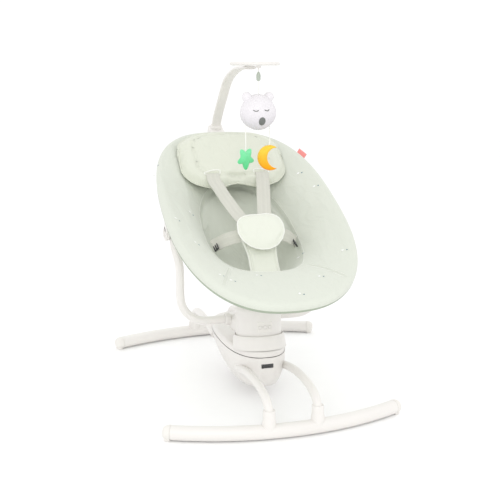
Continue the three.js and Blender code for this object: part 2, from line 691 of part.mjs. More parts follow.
function bearHead() {
  const head = shaped(new THREE.SphereGeometry(1, 16, 10), (p) => {
    const cheeks = 1 + 0.05 * Math.cos((p.z + 0.25) * 2.4);
    p.set(p.x * BEAR.r * cheeks, p.y * (BEAR.r - 5), p.z * BEAR.r);
  });
  const ears = sides.map(([, sign]) => new THREE.SphereGeometry(13, 8, 6).translate(sign * 27, 2, 36));
  return joined(head, ...ears).translate(BEAR.x, HANG_Y, BEAR.z);
}

function bearNose() {
  // flattened button standing on the slope of the muzzle
  const down = 21;
  const [depth, height] = [BEAR.r - 5, BEAR.r];
  const out = depth * Math.sqrt(1 - (down / height) ** 2);
  const slope = Math.atan2(down / height ** 2, out / depth ** 2);
  return new THREE.SphereGeometry(1, 12, 8).scale(9, 4, 11).translate(0, -5, 0).rotateX(slope)
    .translate(BEAR.x, HANG_Y - out, BEAR.z - down);
}

function starToy() {
  const shape = new THREE.Shape();
  for (let i = 0; i < 10; i += 1) {
    const angle = i * Math.PI / 5 - Math.PI / 2; // one tip hangs straight down
    const r = i % 2 ? STAR.r * 0.6 : STAR.r;
    if (i === 0) {
      shape.moveTo(r * Math.cos(angle), r * Math.sin(angle));
    } else {
      shape.lineTo(r * Math.cos(angle), r * Math.sin(angle));
    }
  }
  shape.closePath();
  return new THREE.ExtrudeGeometry(shape, { depth: 18, bevelEnabled: false })
    .translate(0, 0, -9).rotateX(Math.PI / 2).rotateZ(STAR.turn * RAD).translate(STAR.x, HANG_Y, STAR.z);
}

function moonToy() {
  const shape = new THREE.Shape();
  const [outer, inner, shift] = [MOON.r, MOON.r * 0.82, MOON.r * 0.62];
  const meet = Math.acos((shift * shift + outer * outer - inner * inner) / (2 * shift * outer));
  const from = Math.atan2(outer * Math.sin(meet), outer * Math.cos(meet) - shift);
  shape.absarc(0, 0, outer, meet, 2 * Math.PI - meet, false);
  shape.absarc(shift, 0, inner, 2 * Math.PI - from, from, true);
  shape.closePath();
  return new THREE.ExtrudeGeometry(shape, { depth: 17, bevelEnabled: false, curveSegments: 9 })
    .translate(0, 0, -8.5).rotateX(Math.PI / 2).rotateZ(MOON.turn * RAD).translate(MOON.x, HANG_Y, MOON.z);
}

const CORD_R = 1.25;

function hangingCord(x, top, bottom) {
  // straight cord hanging at its full length
  const route = new THREE.LineCurve3(new THREE.Vector3(x, HANG_Y, top), new THREE.Vector3(x, HANG_Y, bottom));
  return tube(route, CORD_R, Math.ceil((top - bottom) / 10), 8);
}

function bearUnderside(x) {
  return BEAR.z - BEAR.r * Math.sqrt(1 - ((x - BEAR.x) / (BEAR.r * 1.04)) ** 2);
}

function buildToys() {
  add(model, 'plush_bear', bearHead(), whitePlush);
  add(model, 'bear_nose', bearNose(), greyPlastic);
  add(model, 'bear_cord', hangingCord(0, CLIP_BOTTOM - GAP, BEAR.z + BEAR.r + GAP), webbing);
  add(model, 'plush_star', starToy(), greenPlush);
  add(model, 'star_cord', hangingCord(STAR.x, bearUnderside(STAR.x) - 2, STAR.z + STAR.r * 0.6 + CORD_R), webbing);
  add(model, 'plush_moon', moonToy(), yellowPlush);
  add(model, 'moon_cord', hangingCord(MOON.x, bearUnderside(MOON.x) - 2, MOON.z + MOON.r + GAP), webbing);
}

function buildSeat(seat) {
  add(seat, 'ring_head_tube', tube(new RingCurve(true), RING_R, 28, 10), whiteEnamel);
  add(seat, 'ring_foot_tube', tube(new RingCurve(false), RING_R, 28, 10), whiteEnamel);
  add(seat, 'seat_cover', seatCover(), sageFabric);
  add(seat, 'head_pillow', pillow(), paleFabric);
  const pivot = toSeat(HUB.y, HUB.z);
  for (const [side, sign] of sides) {
    add(seat, `ring_joint_${side}`, ringJoint(sign), whitePlastic);
    const { r, from, to } = RECLINE_BUTTON;
    const button = sideRod(r, Math.min(sign * from, sign * to), Math.max(sign * from, sign * to));
    add(seat, `recline_button_${side}`, button.translate(0, pivot.y, pivot.z), greyPlastic);
  }
}

const swing = new THREE.Group();
swing.position.set(0, NECK_Y, NECK_Z);
swing.rotation.x = -NECK_LEAN * RAD;
const seat = new THREE.Group();
seat.position.set(0, SEAT_Y, SEAT_Z);
seat.rotation.x = RECLINE * RAD;
model.add(swing, seat);

buildStand();
buildDrive(swing);
buildNeck(swing);
buildSeat(seat);
buildHarness(seat);
buildArch(seat);
buildMobile();
buildToys();

export default model;
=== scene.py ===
"""Finishes the baby swing: smooth frame and housing, padded seat, harness, toy arch and plush toys."""

import math
import random

import bmesh
import bpy
from mathutils import Matrix, Vector, noise
from mathutils.bvhtree import BVHTree


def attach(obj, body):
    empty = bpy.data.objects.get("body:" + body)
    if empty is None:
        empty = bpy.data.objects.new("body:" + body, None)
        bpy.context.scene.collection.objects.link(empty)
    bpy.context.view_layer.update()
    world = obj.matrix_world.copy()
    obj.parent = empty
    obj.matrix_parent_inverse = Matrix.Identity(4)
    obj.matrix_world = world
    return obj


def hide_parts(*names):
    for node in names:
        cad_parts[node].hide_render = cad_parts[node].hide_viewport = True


bl_info = {
    "name": "Baby Swing Finishes",
    "version": (1, 0, 0),
    "blender": (4, 5, 0),
    "location": "3D View > Sidebar > Swing",
    "description": "Makes the finished pieces of a motor-driven baby swing over its frame",
    "category": "Object",
}

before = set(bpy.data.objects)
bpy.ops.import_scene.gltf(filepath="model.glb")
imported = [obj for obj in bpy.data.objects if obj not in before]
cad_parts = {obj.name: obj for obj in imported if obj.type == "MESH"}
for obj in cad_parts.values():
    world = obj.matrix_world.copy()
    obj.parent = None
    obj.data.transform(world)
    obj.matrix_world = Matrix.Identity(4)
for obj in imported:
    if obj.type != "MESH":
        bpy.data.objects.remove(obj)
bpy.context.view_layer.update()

# ---- sizes shared with the frame, in millimetres -------------------------------------------
MM = 0.001
BAR_R = 17.5
BAR_Z = 19
CAP_LENGTH = 20
FRONT_BAR = (299, -342, -68)  # half length, y at the ends, bow
REAR_BAR = (319, 340, 70)
LEG_R = 10.5
LEG_X = 60
SOCKET_TOP = 72
HOUSING_MID = -3
HOUSING_LENGTH = 386
HOUSING_WIDTH = 164
HOUSING_KEEL = 40
HOUSING_ROUND = 2.5
HOUSING_SEAM = 122
DECK_TOP = 140
NECK_Y, NECK_Z = -126, 109
NECK_LEAN = 8
NECK_R = 60
NECK_TOP = 134
COLLAR_TOP = 58
KEY_ANGLES = {"power": -12, "speed": 0, "timer": 12}
KEY_HEIGHT = 81
ARM_R = 11
ARM_X, ARM_Y, ARM_Z = 194, -50, 190
ARM_BEND = 70
HUB_Y, HUB_Z, HUB_R = -34, 428, 20
HUB_INNER, HUB_OUTER = 196, 216
LUG_INNER, LUG_OUTER = 218.5, 229.5
RECLINE = 25.5
SEAT_Y, SEAT_Z = -45, 465
RIM_HALF, RIM_SIDE, RIM_ROUND = 395, 237, 2.6
TUBE_IN = 12
BUCKET_MID, BUCKET_HALF, BUCKET_SIDE, BUCKET_ROUND = -12, 213, 118, 2.3
FOOT_RISE = 34
PILLOW_S, PILLOW_HALF, PILLOW_LOW, PILLOW_CLIMB = 238, 163, 22, 0.28
LABEL_X, LABEL_S = 210, 240
ARCH_ROOT = 432
DISC_Y, DISC_Z, DISC_R, DISC_THICK = -79, 857, 63.5, 9
HANG_Y = -111
CLIP_TOP, CLIP_BOTTOM = 838, 815
BEAR_X, BEAR_Z, BEAR_R = -1, 739, 44
STAR_X, STAR_Z, STAR_R, STAR_TURN = -33, 624, 29, 30
MOON_X, MOON_Z, MOON_R, MOON_TURN = 30, 624, 32, -32
CORD_R = 1.25
GAP = 0.35  # between faces that touch
SIDES = (("left", -1), ("right", 1))

SEAT = Matrix.Translation((0, SEAT_Y, SEAT_Z)) @ Matrix.Rotation(math.radians(RECLINE), 4, "X")
NECK = Matrix.Translation((0, NECK_Y, NECK_Z)) @ Matrix.Rotation(math.radians(-NECK_LEAN), 4, "X")


def linear(code):
    """An sRGB hex colour as the linear values that shaders take."""
    shares = [int(code[i:i + 2], 16) / 255 for i in (1, 3, 5)]
    return tuple(v / 12.92 if v <= 0.04045 else ((v + 0.055) / 1.055) ** 2.4 for v in shares) + (1.0,)


def colour_property(name, description, code):
    return bpy.props.FloatVectorProperty(
        name=name, description=description, subtype="COLOR", size=4, min=0, max=1, default=linear(code))


def length_property(name, description, default):
    return bpy.props.FloatProperty(name=name, description=description, unit="LENGTH", default=default)


class SwingSizes(bpy.types.PropertyGroup):
    """Sizes of the soft goods that a maker would change."""

    band_puff: length_property("Band puff", "How far the seat's padded band stands up", 0.0085)
    seam_depth: length_property("Seam depth", "How deep the sewn seams pull into the padding", 0.0045)
    wrinkle: length_property("Wrinkle height", "Height of the loose folds in the seat cover", 0.0036)
    wrap_radius: length_property("Rim wrap radius", "Radius of the fabric round the seat's ring", 0.0128)
    pillow_swell: length_property("Pillow swell", "Height of the head pillow over its edge seam", 0.021)
    stitch_length: length_property("Stitch length", "Length of one sewing stitch", 0.0034)
    stitch_gap: length_property("Stitch gap", "Gap between two stitches", 0.0016)
    print_size: length_property("Print size", "Radius of one printed star on the seat cover", 0.0046)
    strap_width: length_property("Strap width", "Width of the harness webbing", 0.038)
    pile_height: length_property("Pile height", "Roughness of the plush toys' outline", 0.0008)


class SwingColours(bpy.types.PropertyGroup):
    """Colours of the finishes."""

    frame_white: colour_property("Frame", "Powder coat of the steel tubes", "#EAE7E3")
    plastic_white: colour_property("Plastic", "Moulded plastic of the housing and the arch", "#E8E5E1")
    foot: colour_property("Feet", "Soft end caps of the foot bars", "#EAE7E2")
    grey: colour_property("Grey plastic", "Clip, nose and adjusters", "#6E716E")
    sage: colour_property("Seat fabric", "Printed jersey of the seat cover", "#DBDFD4")
    # the binding's darker sage is partly the tape's own colour and partly painted shade under the rim
    sage_dark: colour_property("Seat binding", "Binding under the seat's rim", "#A7B29F")
    pillow: colour_property("Pillow fabric", "Soft jersey of the head pillow", "#DEE1D3")
    cream: colour_property("Pad fabric", "Buckle shield and crotch pad", "#E6E9DD")
    webbing: colour_property("Webbing", "Harness webbing", "#DADAD0")
    thread: colour_property("Thread", "Sewing thread and piping", "#F4F5EF")
    teal: colour_property("Print triangle", "Small printed triangles", "#3F7484")
    coral: colour_property("Label", "Folded tape tab on the rim", "#F0918C")
    bear: colour_property("Plush white", "Pile of the hanging bear", "#ECE9EC")
    star: colour_property("Plush green", "Star", "#86E8AC")
    moon: colour_property("Plush yellow", "Moon's light end", "#FFD34D")
    moon_deep: colour_property("Plush orange", "Moon's deep end", "#FFA414")
    floor: colour_property("Floor", "Studio floor", "#FEFEFE")


def sizes():
    return bpy.context.scene.swing_sizes


def colours():
    return bpy.context.scene.swing_colours


# ---- finishes ------------------------------------------------------------------------------
def add_node(tree, kind, settings=None, inputs=None):
    """Adds one node: settings are its own properties, inputs are values or the sockets that feed it."""
    node = tree.nodes.new(kind)
    for key, value in (settings or {}).items():
        setattr(node, key, value)
    for key, value in (inputs or {}).items():
        if isinstance(value, bpy.types.NodeSocket):
            tree.links.new(value, node.inputs[key])
        else:
            node.inputs[key].default_value = value
    return node


def mixed(tree, factor, first, second, blend="MIX"):
    """Colour between two others by a factor."""
    node = add_node(tree, "ShaderNodeMix", {"data_type": "RGBA", "blend_type": blend})
    for slot, value in ((0, factor), (6, first), (7, second)):
        if isinstance(value, bpy.types.NodeSocket):
            tree.links.new(value, node.inputs[slot])
        else:
            node.inputs[slot].default_value = value
    return node.outputs[2]


def ranged(tree, value, low, high):
    """A 0 to 1 value stretched to another range."""
    return add_node(tree, "ShaderNodeMapRange", inputs={
        "Value": value, "To Min": low, "To Max": high}).outputs["Result"]


def maths(tree, operation, first, second=0.0):
    """One sum on one or two values."""
    node = add_node(tree, "ShaderNodeMath", {"operation": operation}, {0: first})
    if isinstance(second, bpy.types.NodeSocket):
        tree.links.new(second, node.inputs[1])
    else:
        node.inputs[1].default_value = second
    return node.outputs[0]


def shell(name, constants):
    """A material with one main shader, and its constants set on the shader's own sockets."""
    material = bpy.data.materials.new(name)
    material.use_nodes = True
    tree = material.node_tree
    tree.nodes.clear()
    shader = add_node(tree, "ShaderNodeBsdfPrincipled", inputs=constants)
    output = add_node(tree, "ShaderNodeOutputMaterial")
    tree.links.new(shader.outputs["BSDF"], output.inputs["Surface"])
    place = add_node(tree, "ShaderNodeTexCoord")
    return material, tree, shader, place


def bumped(tree, shader, height, strength, distance, under=None):
    bump = add_node(tree, "ShaderNodeBump", inputs={
        "Strength": strength, "Distance": distance, "Height": height})
    if under is not None:
        tree.links.new(under, bump.inputs["Normal"])
    tree.links.new(bump.outputs["Normal"], shader.inputs["Normal"])


def creases(tree, place):
    """Soft dents of loose cloth, one every few centimetres, as a normal that finer relief is added to."""
    stretched = add_node(tree, "ShaderNodeMapping", inputs={"Vector": place, "Scale": (1.0, 0.45, 0.7)})
    folds = add_node(tree, "ShaderNodeTexNoise", inputs={
        "Vector": stretched.outputs["Vector"], "Scale": 34.0, "Detail": 2.0, "Roughness": 0.4,
        "Distortion": 0.8})
    bump = add_node(tree, "ShaderNodeBump", inputs={
        "Strength": 0.5, "Distance": 0.007, "Height": folds.outputs["Fac"]})
    return bump.outputs["Normal"]


def spotted(tree, place, scale, detail=3.0, rough=0.55):
    return add_node(tree, "ShaderNodeTexNoise", inputs={
        "Vector": place, "Scale": scale, "Detail": detail, "Roughness": rough}).outputs["Fac"]


def hard_finish(name, colour, roughness, grain, bump, metallic=0.0, coat=0.0, ior=1.5):
    """Moulded, coated or turned surface: a fine grain, and broad soft changes of colour and gloss."""
    constants = {"Metallic": metallic, "Coat Weight": coat, "Coat Roughness": 0.25, "IOR": ior}
    material, tree, shader, place = shell(name, constants)
    where = place.outputs["Object"]
    broad = spotted(tree, where, 9.0)
    fine = spotted(tree, where, grain, 4.0, 0.6)
    shade = [c * 0.965 for c in colour[:3]] + [1.0]
    tree.links.new(mixed(tree, broad, list(colour), shade), shader.inputs["Base Color"])
    tree.links.new(ranged(tree, fine, roughness - 0.07, roughness + 0.09), shader.inputs["Roughness"])
    bumped(tree, shader, fine, bump, 0.0004)
    return material


def waves(tree, place, pitch, turn):
    """Ribs of a given pitch in metres, running along one direction of the cloth."""
    turned_place = add_node(tree, "ShaderNodeMapping", inputs={"Vector": place, "Rotation": turn})
    # a wave texture repeats every 2 pi / 20 units at scale 1
    return add_node(tree, "ShaderNodeTexWave", {"wave_type": "BANDS", "bands_direction": "X"}, {
        "Vector": turned_place.outputs["Vector"], "Scale": math.pi / 10 / pitch,
        "Distortion": 0.6, "Detail": 1.0}).outputs["Fac"]


def cloth_finish(name, colour, pitch, bump, sheen=0.25, use_uv=False, roughness=0.9, slant=0.0, vary=0.05):
    """Knitted or woven cloth: crossing ribs with painted shade between them, fuzz that catches the light, and
    uneven dye.
    """
    constants = {"Sheen Weight": sheen, "Sheen Roughness": 0.45, "IOR": 1.47, "Specular IOR Level": 0.25}
    material, tree, shader, place = shell(name, constants)
    where = place.outputs["UV" if use_uv else "Object"]
    warp = waves(tree, where, pitch, (0, 0, slant))
    weft = waves(tree, where, pitch, (0, 0, slant + math.pi / 2))
    weave = maths(tree, "MULTIPLY", warp, weft)
    dye = spotted(tree, place.outputs["Object"], 14.0, 4.0)
    fuzz = spotted(tree, place.outputs["Object"], 900.0, 2.0)
    # dark is painted shade for the hollows between the ribs of the weave
    dark = [c * (1 - 2.4 * vary) for c in colour[:3]] + [1.0]
    worn = [c * (1 - vary) for c in colour[:3]] + [1.0]
    base = mixed(tree, ranged(tree, dye, 0.0, 0.7), list(colour), worn)
    between = maths(tree, "SUBTRACT", 1.0, weave)
    tree.links.new(mixed(tree, ranged(tree, between, 0.0, 0.45), base, dark), shader.inputs["Base Color"])
    tree.links.new(ranged(tree, fuzz, roughness - 0.08, roughness + 0.06), shader.inputs["Roughness"])
    height = maths(tree, "ADD", weave, maths(tree, "MULTIPLY", fuzz, 0.35))
    bumped(tree, shader, height, bump, 0.0005, creases(tree, place.outputs["Object"]))
    return material


def plush_finish(name, colour, deep, low, high):
    """Short brushed pile: clumps of fibre with painted shade between them, a strong soft sheen, and a colour that
    deepens downwards, which is painted shade on the bear and the star.
    """
    constants = {"Sheen Weight": 0.6, "Sheen Roughness": 0.35, "IOR": 1.47, "Specular IOR Level": 0.15}
    material, tree, shader, place = shell(name, constants)
    where = place.outputs["Object"]
    # painted shade on the bear and the star: the colour runs from deep low down to colour higher up; on the moon
    # it runs from orange to yellow
    height = add_node(tree, "ShaderNodeSeparateXYZ", inputs={"Vector": where}).outputs["Z"]
    share = add_node(tree, "ShaderNodeMapRange", inputs={
        "Value": height, "From Min": low, "From Max": high}).outputs["Result"]
    cells = add_node(tree, "ShaderNodeTexVoronoi", inputs={"Vector": where, "Scale": 520.0})
    clumps = cells.outputs["Distance"]
    fibre = spotted(tree, where, 1500.0, 3.0)
    base = mixed(tree, share, list(deep), list(colour))
    # painted shade between the clumps of fibre: the colour darkens away from each clump's middle
    shade = mixed(tree, 1.0, base, (0.86, 0.86, 0.86, 1.0), "MULTIPLY")
    tree.links.new(mixed(tree, ranged(tree, clumps, 0.0, 0.55), base, shade), shader.inputs["Base Color"])
    tree.links.new(ranged(tree, fibre, 0.86, 1.0), shader.inputs["Roughness"])
    pile = maths(tree, "ADD", fibre, maths(tree, "MULTIPLY", clumps, 0.6))
    bumped(tree, shader, pile, 0.55, 0.0007)
    return material


def make_finishes():
    """Every finish of the swing, by the name of what it is and how its surface was made."""
    c = colours()
    made = {}
    # powder coat has a slight orange peel of about 2.5 mm, which softens the tubes' long highlights
    made["powder_coated_steel"] = hard_finish(
        "powder_coated_steel", c.frame_white, 0.36, 400.0, 0.05, coat=0.15)
    # spark-eroded moulds give ABS a fine even grain, so its highlights spread without a mirror edge
    made["moulded_abs"] = hard_finish("moulded_abs", c.plastic_white, 0.42, 700.0, 0.06, ior=1.53)
    # a soft elastomer scatters light and looks slightly warmer than the tube beside it
    made["moulded_elastomer"] = hard_finish("moulded_elastomer", c.foot, 0.62, 600.0, 0.12, ior=1.5)
    # smoked polycarbonate is dark and glossy, a small sharp reflection on the white housing
    made["smoked_polycarbonate"] = hard_finish(
        "smoked_polycarbonate", linear("#26272A"), 0.16, 500.0, 0.01, coat=0.6, ior=1.58)
    # tinted acetal is grey with a waxy half-gloss
    made["moulded_acetal"] = hard_finish("moulded_acetal", c.grey, 0.4, 650.0, 0.06, ior=1.48)
    # pale acetal is the same waxy plastic with a green-grey tint
    made["pale_acetal"] = hard_finish("pale_acetal", linear("#AEB7AA"), 0.42, 650.0, 0.06, ior=1.48)
    # zinc-plated steel shows turning marks as a soft directional gloss
    made["turned_steel"] = hard_finish("turned_steel", linear("#B9BCC0"), 0.34, 900.0, 0.1, metallic=1.0)
    # cut brass is warm, with bright tooth flanks
    made["cut_brass"] = hard_finish("cut_brass", linear("#C6A15B"), 0.3, 900.0, 0.1, metallic=1.0)
    # solder mask is an even green with a thin gloss
    made["solder_mask"] = hard_finish("solder_mask", linear("#2F6B45"), 0.35, 500.0, 0.04, coat=0.3)
    # the real knit's wales are about 0.9 mm apart: drawn at 2.4 mm so that they show
    made["printed_jersey"] = cloth_finish("printed_jersey", c.sage, 0.0024, 0.22, use_uv=True)
    # a brushed jersey is smoother, with a denser sheen
    made["brushed_jersey"] = cloth_finish("brushed_jersey", c.pillow, 0.0022, 0.18, sheen=0.35)
    # quilting cotton has a tight square weave
    made["quilting_cotton"] = cloth_finish("quilting_cotton", c.cream, 0.0018, 0.2, sheen=0.2, slant=0.78)
    # open gauze webbing: coarse holes, with stronger painted shade between the ribs
    made["gauze_webbing"] = cloth_finish(
        "gauze_webbing", c.webbing, 0.0028, 0.5, sheen=0.1, use_uv=True, vary=0.1)
    # rim binding: real tape, darker partly as painted shade under the rim
    made["rim_binding_and_shade"] = cloth_finish("rim_binding_and_shade", c.sage_dark, 0.0022, 0.25)
    # spun thread and braided cord: bright ridges at the twist's pitch
    made["spun_thread"] = cloth_finish("spun_thread", c.thread, 0.0012, 0.3, sheen=0.4)
    made["printed_ink"] = cloth_finish("printed_ink", c.teal, 0.0024, 0.2)
    made["printed_white_ink"] = cloth_finish("printed_white_ink", linear("#FBFCFA"), 0.0024, 0.2)
    made["woven_tape"] = cloth_finish("woven_tape", c.coral, 0.0016, 0.3, sheen=0.3)
    # the deeper colours low on the bear and the star are painted shade
    made["white_pile"] = plush_finish("white_pile", c.bear, linear("#DCD8DE"), 0.690, 0.750)
    made["green_pile"] = plush_finish("green_pile", c.star, linear("#5FD48C"), 0.596, 0.640)
    made["yellow_pile"] = plush_finish("yellow_pile", c.moon, c.moon_deep, 0.594, 0.640)
    return made


def finish_of(name):
    """A finish by name, made once."""
    found = bpy.data.materials.get(name)
    if found is None:
        make_finishes()
        found = bpy.data.materials[name]
    return found


# ---- shape tools, all in millimetres -------------------------------------------------------
def signed_power(value, power):
    return math.copysign(abs(value) ** power, value)


def superellipse(angle, half, side, roundness):
    """A point on the rounded outline: angle 0 is along the second axis."""
    return (side * signed_power(math.sin(angle), 2 / roundness),
            half * signed_power(math.cos(angle), 2 / roundness))


def eased(share):
    """0 to 1 with soft ends."""
    share = min(1.0, max(0.0, share))
    return share * share * (3 - 2 * share)


def dip(distance, width):
    """1 on a line, falling away to nothing at about twice its width."""
    return math.exp(-(distance / width) ** 2)


def surface(across, along, place, span=(1.0, 1.0), fill_ends=False):
    """A grid bent so that place(u, v) gives each point, with its edges joined where they meet."""
    bm = bmesh.new()
    uv = bm.loops.layers.uv.new("UVMap")
    bmesh.ops.create_grid(bm, x_segments=across, y_segments=along, size=0.5, calc_uvs=True)
    for face in bm.faces:
        for loop in face.loops:
            loop[uv].uv = ((loop.vert.co.x + 0.5) * span[0], (loop.vert.co.y + 0.5) * span[1])
    for vert in bm.verts:
        vert.co = place(vert.co.x + 0.5, vert.co.y + 0.5)
    bmesh.ops.remove_doubles(bm, verts=bm.verts, dist=0.002)
    if fill_ends:
        bmesh.ops.holes_fill(bm, edges=bm.edges, sides=0)
    return bm


def curve_through(points, count):
    """Evenly spaced points on the smooth bend through the given ones."""
    given = [Vector(p) for p in points]
    ends = [given[0] * 2 - given[1], *given, given[-1] * 2 - given[-2]]
    dense = []
    for p0, p1, p2, p3 in zip(ends, ends[1:], ends[2:], ends[3:]):
        t1 = (p1 - p0).length ** 0.5
        t2 = t1 + (p2 - p1).length ** 0.5
        t3 = t2 + (p3 - p2).length ** 0.5
        for step in range(16):
            t = t1 + (t2 - t1) * step / 16
            a1 = p0 * ((t1 - t) / t1) + p1 * (t / t1)
            a2 = p1 * ((t2 - t) / (t2 - t1)) + p2 * ((t - t1) / (t2 - t1))
            a3 = p2 * ((t3 - t) / (t3 - t2)) + p3 * ((t - t2) / (t3 - t2))
            b1 = a1 * ((t2 - t) / t2) + a2 * (t / t2)
            b2 = a2 * ((t3 - t) / (t3 - t1)) + a3 * ((t - t1) / (t3 - t1))
            dense.append(b1 * ((t2 - t) / (t2 - t1)) + b2 * ((t - t1) / (t2 - t1)))
    dense.append(given[-1])
    return evenly(dense, count)


def evenly(points, count):
    """Points at equal steps along a line."""
    reached = [0.0]
    for a, b in zip(points, points[1:]):
        reached.append(reached[-1] + (b - a).length)
    spaced, i = [], 0
    for k in range(count):
        target = reached[-1] * k / (count - 1)
        while i < len(points) - 2 and reached[i + 1] < target:
            i += 1
        part = (target - reached[i]) / max(1e-9, reached[i + 1] - reached[i])
        spaced.append(points[i].lerp(points[i + 1], min(1.0, part)))
    return spaced


def along_path(path, first_side):
    """Side and up directions at each point of a path, turned as little as possible from one to the next."""
    frames, side = [], Vector(first_side)
    for i, point in enumerate(path):
        heading = (path[min(i + 1, len(path) - 1)] - path[max(i - 1, 0)]).normalized()
        side = (side - heading * side.dot(heading)).normalized()
        frames.append((point, side, heading.cross(side)))
    return frames


def swept(path, section, around, first_side=(1, 0, 0), span=(1.0, 1.0), close=True):
    """A bar along a path: section(angle, share) gives its half sizes along the side and the up direction."""
    frames = along_path(path, first_side)
    last = len(path) - 1

    def place(u, v):
        centre, side, up = frames[round(v * last)]
        across, rise = section(2 * math.pi * u, v)
        return centre + side * across + up * rise

    return surface(around, last, place, span, fill_ends=close)


def round_bar(path, radius, around=28, first_side=(1, 0, 0), close=True):
    """A rod, cord or thread of one radius along a path."""
    return swept(path, lambda a, v: (radius * math.cos(a), radius * math.sin(a)), around, first_side, close=close)


def turned(profile, steps=64):
    """A turned piece about Z from (radius, height) points."""
    bm = bmesh.new()
    verts = [bm.verts.new((r, 0, z)) for r, z in profile]
    edges = [bm.edges.new(pair) for pair in zip(verts, verts[1:])]
    bmesh.ops.spin(bm, geom=verts + edges, cent=(0, 0, 0), axis=(0, 0, 1), angle=2 * math.pi,
                   steps=steps, use_merge=True)
    bmesh.ops.remove_doubles(bm, verts=bm.verts, dist=0.002)
    return bm


def block(size, centre, soften, segments=4):
    """A box with rounded edges."""
    bm = bmesh.new()
    bmesh.ops.create_cube(bm, size=1)
    bmesh.ops.scale(bm, vec=size, verts=bm.verts)
    bmesh.ops.bevel(bm, geom=bm.edges[:], offset=soften, segments=segments, profile=0.5,
                    affect="EDGES", material=-1)
    bmesh.ops.translate(bm, vec=centre, verts=bm.verts)
    return bm


def moved(bm, matrix):
    bmesh.ops.transform(bm, matrix=matrix, verts=bm.verts)
    return bm


def shifted(bm, x, y, z):
    return moved(bm, Matrix.Translation((x, y, z)))


def gathered(*parts):
    """Several shapes as one."""
    whole = bmesh.new()
    whole.loops.layers.uv.new("UVMap")
    for part in parts:
        bmesh.ops.recalc_face_normals(part, faces=part.faces)
        mesh = bpy.data.meshes.new("part")
        part.to_mesh(mesh)
        part.free()
        whole.from_mesh(mesh)
        bpy.data.meshes.remove(mesh)
    return whole


def side_turned(profile, centre, steps=48):
    """A turned piece about X: heights run along +X."""
    return moved(turned(profile, steps), Matrix.Translation(centre) @ Matrix.Rotation(math.pi / 2, 4, "Y"))


def finished(name, bm, finish, body, nodes=(), crease=38.0, renormal=True):
    """Makes a piece of a shape: its normals, its size in metres, its finish and the body that it rides on."""
    if renormal:
        bmesh.ops.recalc_face_normals(bm, faces=bm.faces)
    bmesh.ops.scale(bm, vec=(MM, MM, MM), verts=bm.verts)
    mesh = bpy.data.meshes.new(name)
    bm.to_mesh(mesh)
    bm.free()
    mesh.shade_smooth()
    mesh.set_sharp_from_angle(angle=math.radians(crease))
    piece = bpy.data.objects.new(name, mesh)
    bpy.context.scene.collection.objects.link(piece)
    mesh.materials.append(finish_of(finish))
    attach(piece, body)
    if nodes:
        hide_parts(*nodes)
    return piece


def seen_from_edge(piece, frame_matrix):
    """Finds a cushion's outermost skin by looking in from outside it, level with its seam."""
    back = frame_matrix.inverted()
    points = [back @ (v.co * 1000) for v in piece.data.vertices]
    tree = BVHTree.FromPolygons(points, [tuple(p.vertices) for p in piece.data.polygons])

    def skin(spot, middle):
        start = middle + (spot - middle) * 1.4
        found, _, _, _ = tree.ray_cast(start, middle - start)
        return (found if found is not None else spot) + (spot - middle).normalized() * 1.2

    return skin


def seen_from_above(piece):
    """Finds the surface of a seat piece under a place given across and along the seat."""
    mesh = piece.data
    back = SEAT.inverted()
    points = [back @ (v.co * 1000) for v in mesh.vertices]
    tree = BVHTree.FromPolygons(points, [tuple(p.vertices) for p in mesh.polygons])

    def under(x, s, lift=0.0):
        spot, normal, _, _ = tree.ray_cast(Vector((x, s, 300)), Vector((0, 0, -1)))
        if spot is None:
            return Vector((x, s, lift)), Vector((0, 0, 1))
        return spot + normal * lift, normal

    return under


# ---- stand ---------------------------------------------------------------------------------
def bar_points(bar, count):
    """The bowed foot bar's centre line between its end caps."""
    half, end_y, bow = bar
    radius = (half * half + bow * bow) / (2 * abs(bow))
    sweep = math.asin(half / radius) - CAP_LENGTH / radius
    away = math.copysign(1, bow)
    centre_y = end_y + bow - away * radius
    angles = [(2 * i / (count - 1) - 1) * sweep for i in range(count)]
    return [Vector((radius * math.sin(a), centre_y + away * radius * math.cos(a), BAR_Z)) for a in angles]


def bar_y(bar):
    half, end_y, bow = bar
    return end_y + bow * (1 - (LEG_X / half) ** 2)


def foot_bar(bar):
    """Bowed tube with two upright sockets for the legs."""
    tube = round_bar(bar_points(bar, 72), BAR_R, 32, (0, 0, 1))
    profile = [(0, 0), (16.5, 0), (16.5, 24), (15.2, 30), (14.6, 36), (14.5, SOCKET_TOP - BAR_Z - 1.5),
               (13.6, SOCKET_TOP - BAR_Z), (11.2, SOCKET_TOP - BAR_Z), (0, SOCKET_TOP - BAR_Z - 6)]
    sockets = [shifted(turned(profile, 40), x, bar_y(bar), BAR_Z) for x in (-LEG_X, LEG_X)]
    return gathered(tube, *sockets)


def foot_cap(bar, sign):
    """Rounded plug with a lip, and the flat pad that stands on the floor."""
    path = bar_points(bar, 72)
    end, before = (path[-1], path[-2]) if sign > 0 else (path[0], path[1])
    heading = (end - before).normalized()
    turn = math.atan2(heading.y, heading.x)
    profile = [(0, 0.4), (17.0, 0.4), (17.9, 1.0), (17.9, 3.4), (17.5, 4.2)]
    profile += [(17.5 * math.cos(a) ** 0.62, 4.2 + 15.8 * math.sin(a)) for a in
                (math.radians(d) for d in range(8, 90, 8))] + [(0, CAP_LENGTH)]
    plug = moved(turned(profile, 40), Matrix.Rotation(math.pi / 2, 4, "Y"))
    pad = block((14, 20, 8), (8, 0, 4 - BAR_Z), 2)
    return moved(gathered(plug, pad), Matrix.Translation(end) @ Matrix.Rotation(turn, 4, "Z"))


def leg_points(bar, x):
    """The arched leg from the housing to its foot bar, upright where it enters the socket."""
    y = bar_y(bar)
    if bar is FRONT_BAR:
        route = [(-134, 80), (-215, 96), (-290, 102), (-350, 98), (-388, 86), (y + 2, 70)]
    else:
        route = [(130, 91), (215, 101), (290, 104), (350, 99), (386, 87), (y - 2, 71)]
    return curve_through([(x, a, b) for a, b in [*route, (y, 56), (y, 42)]], 72)


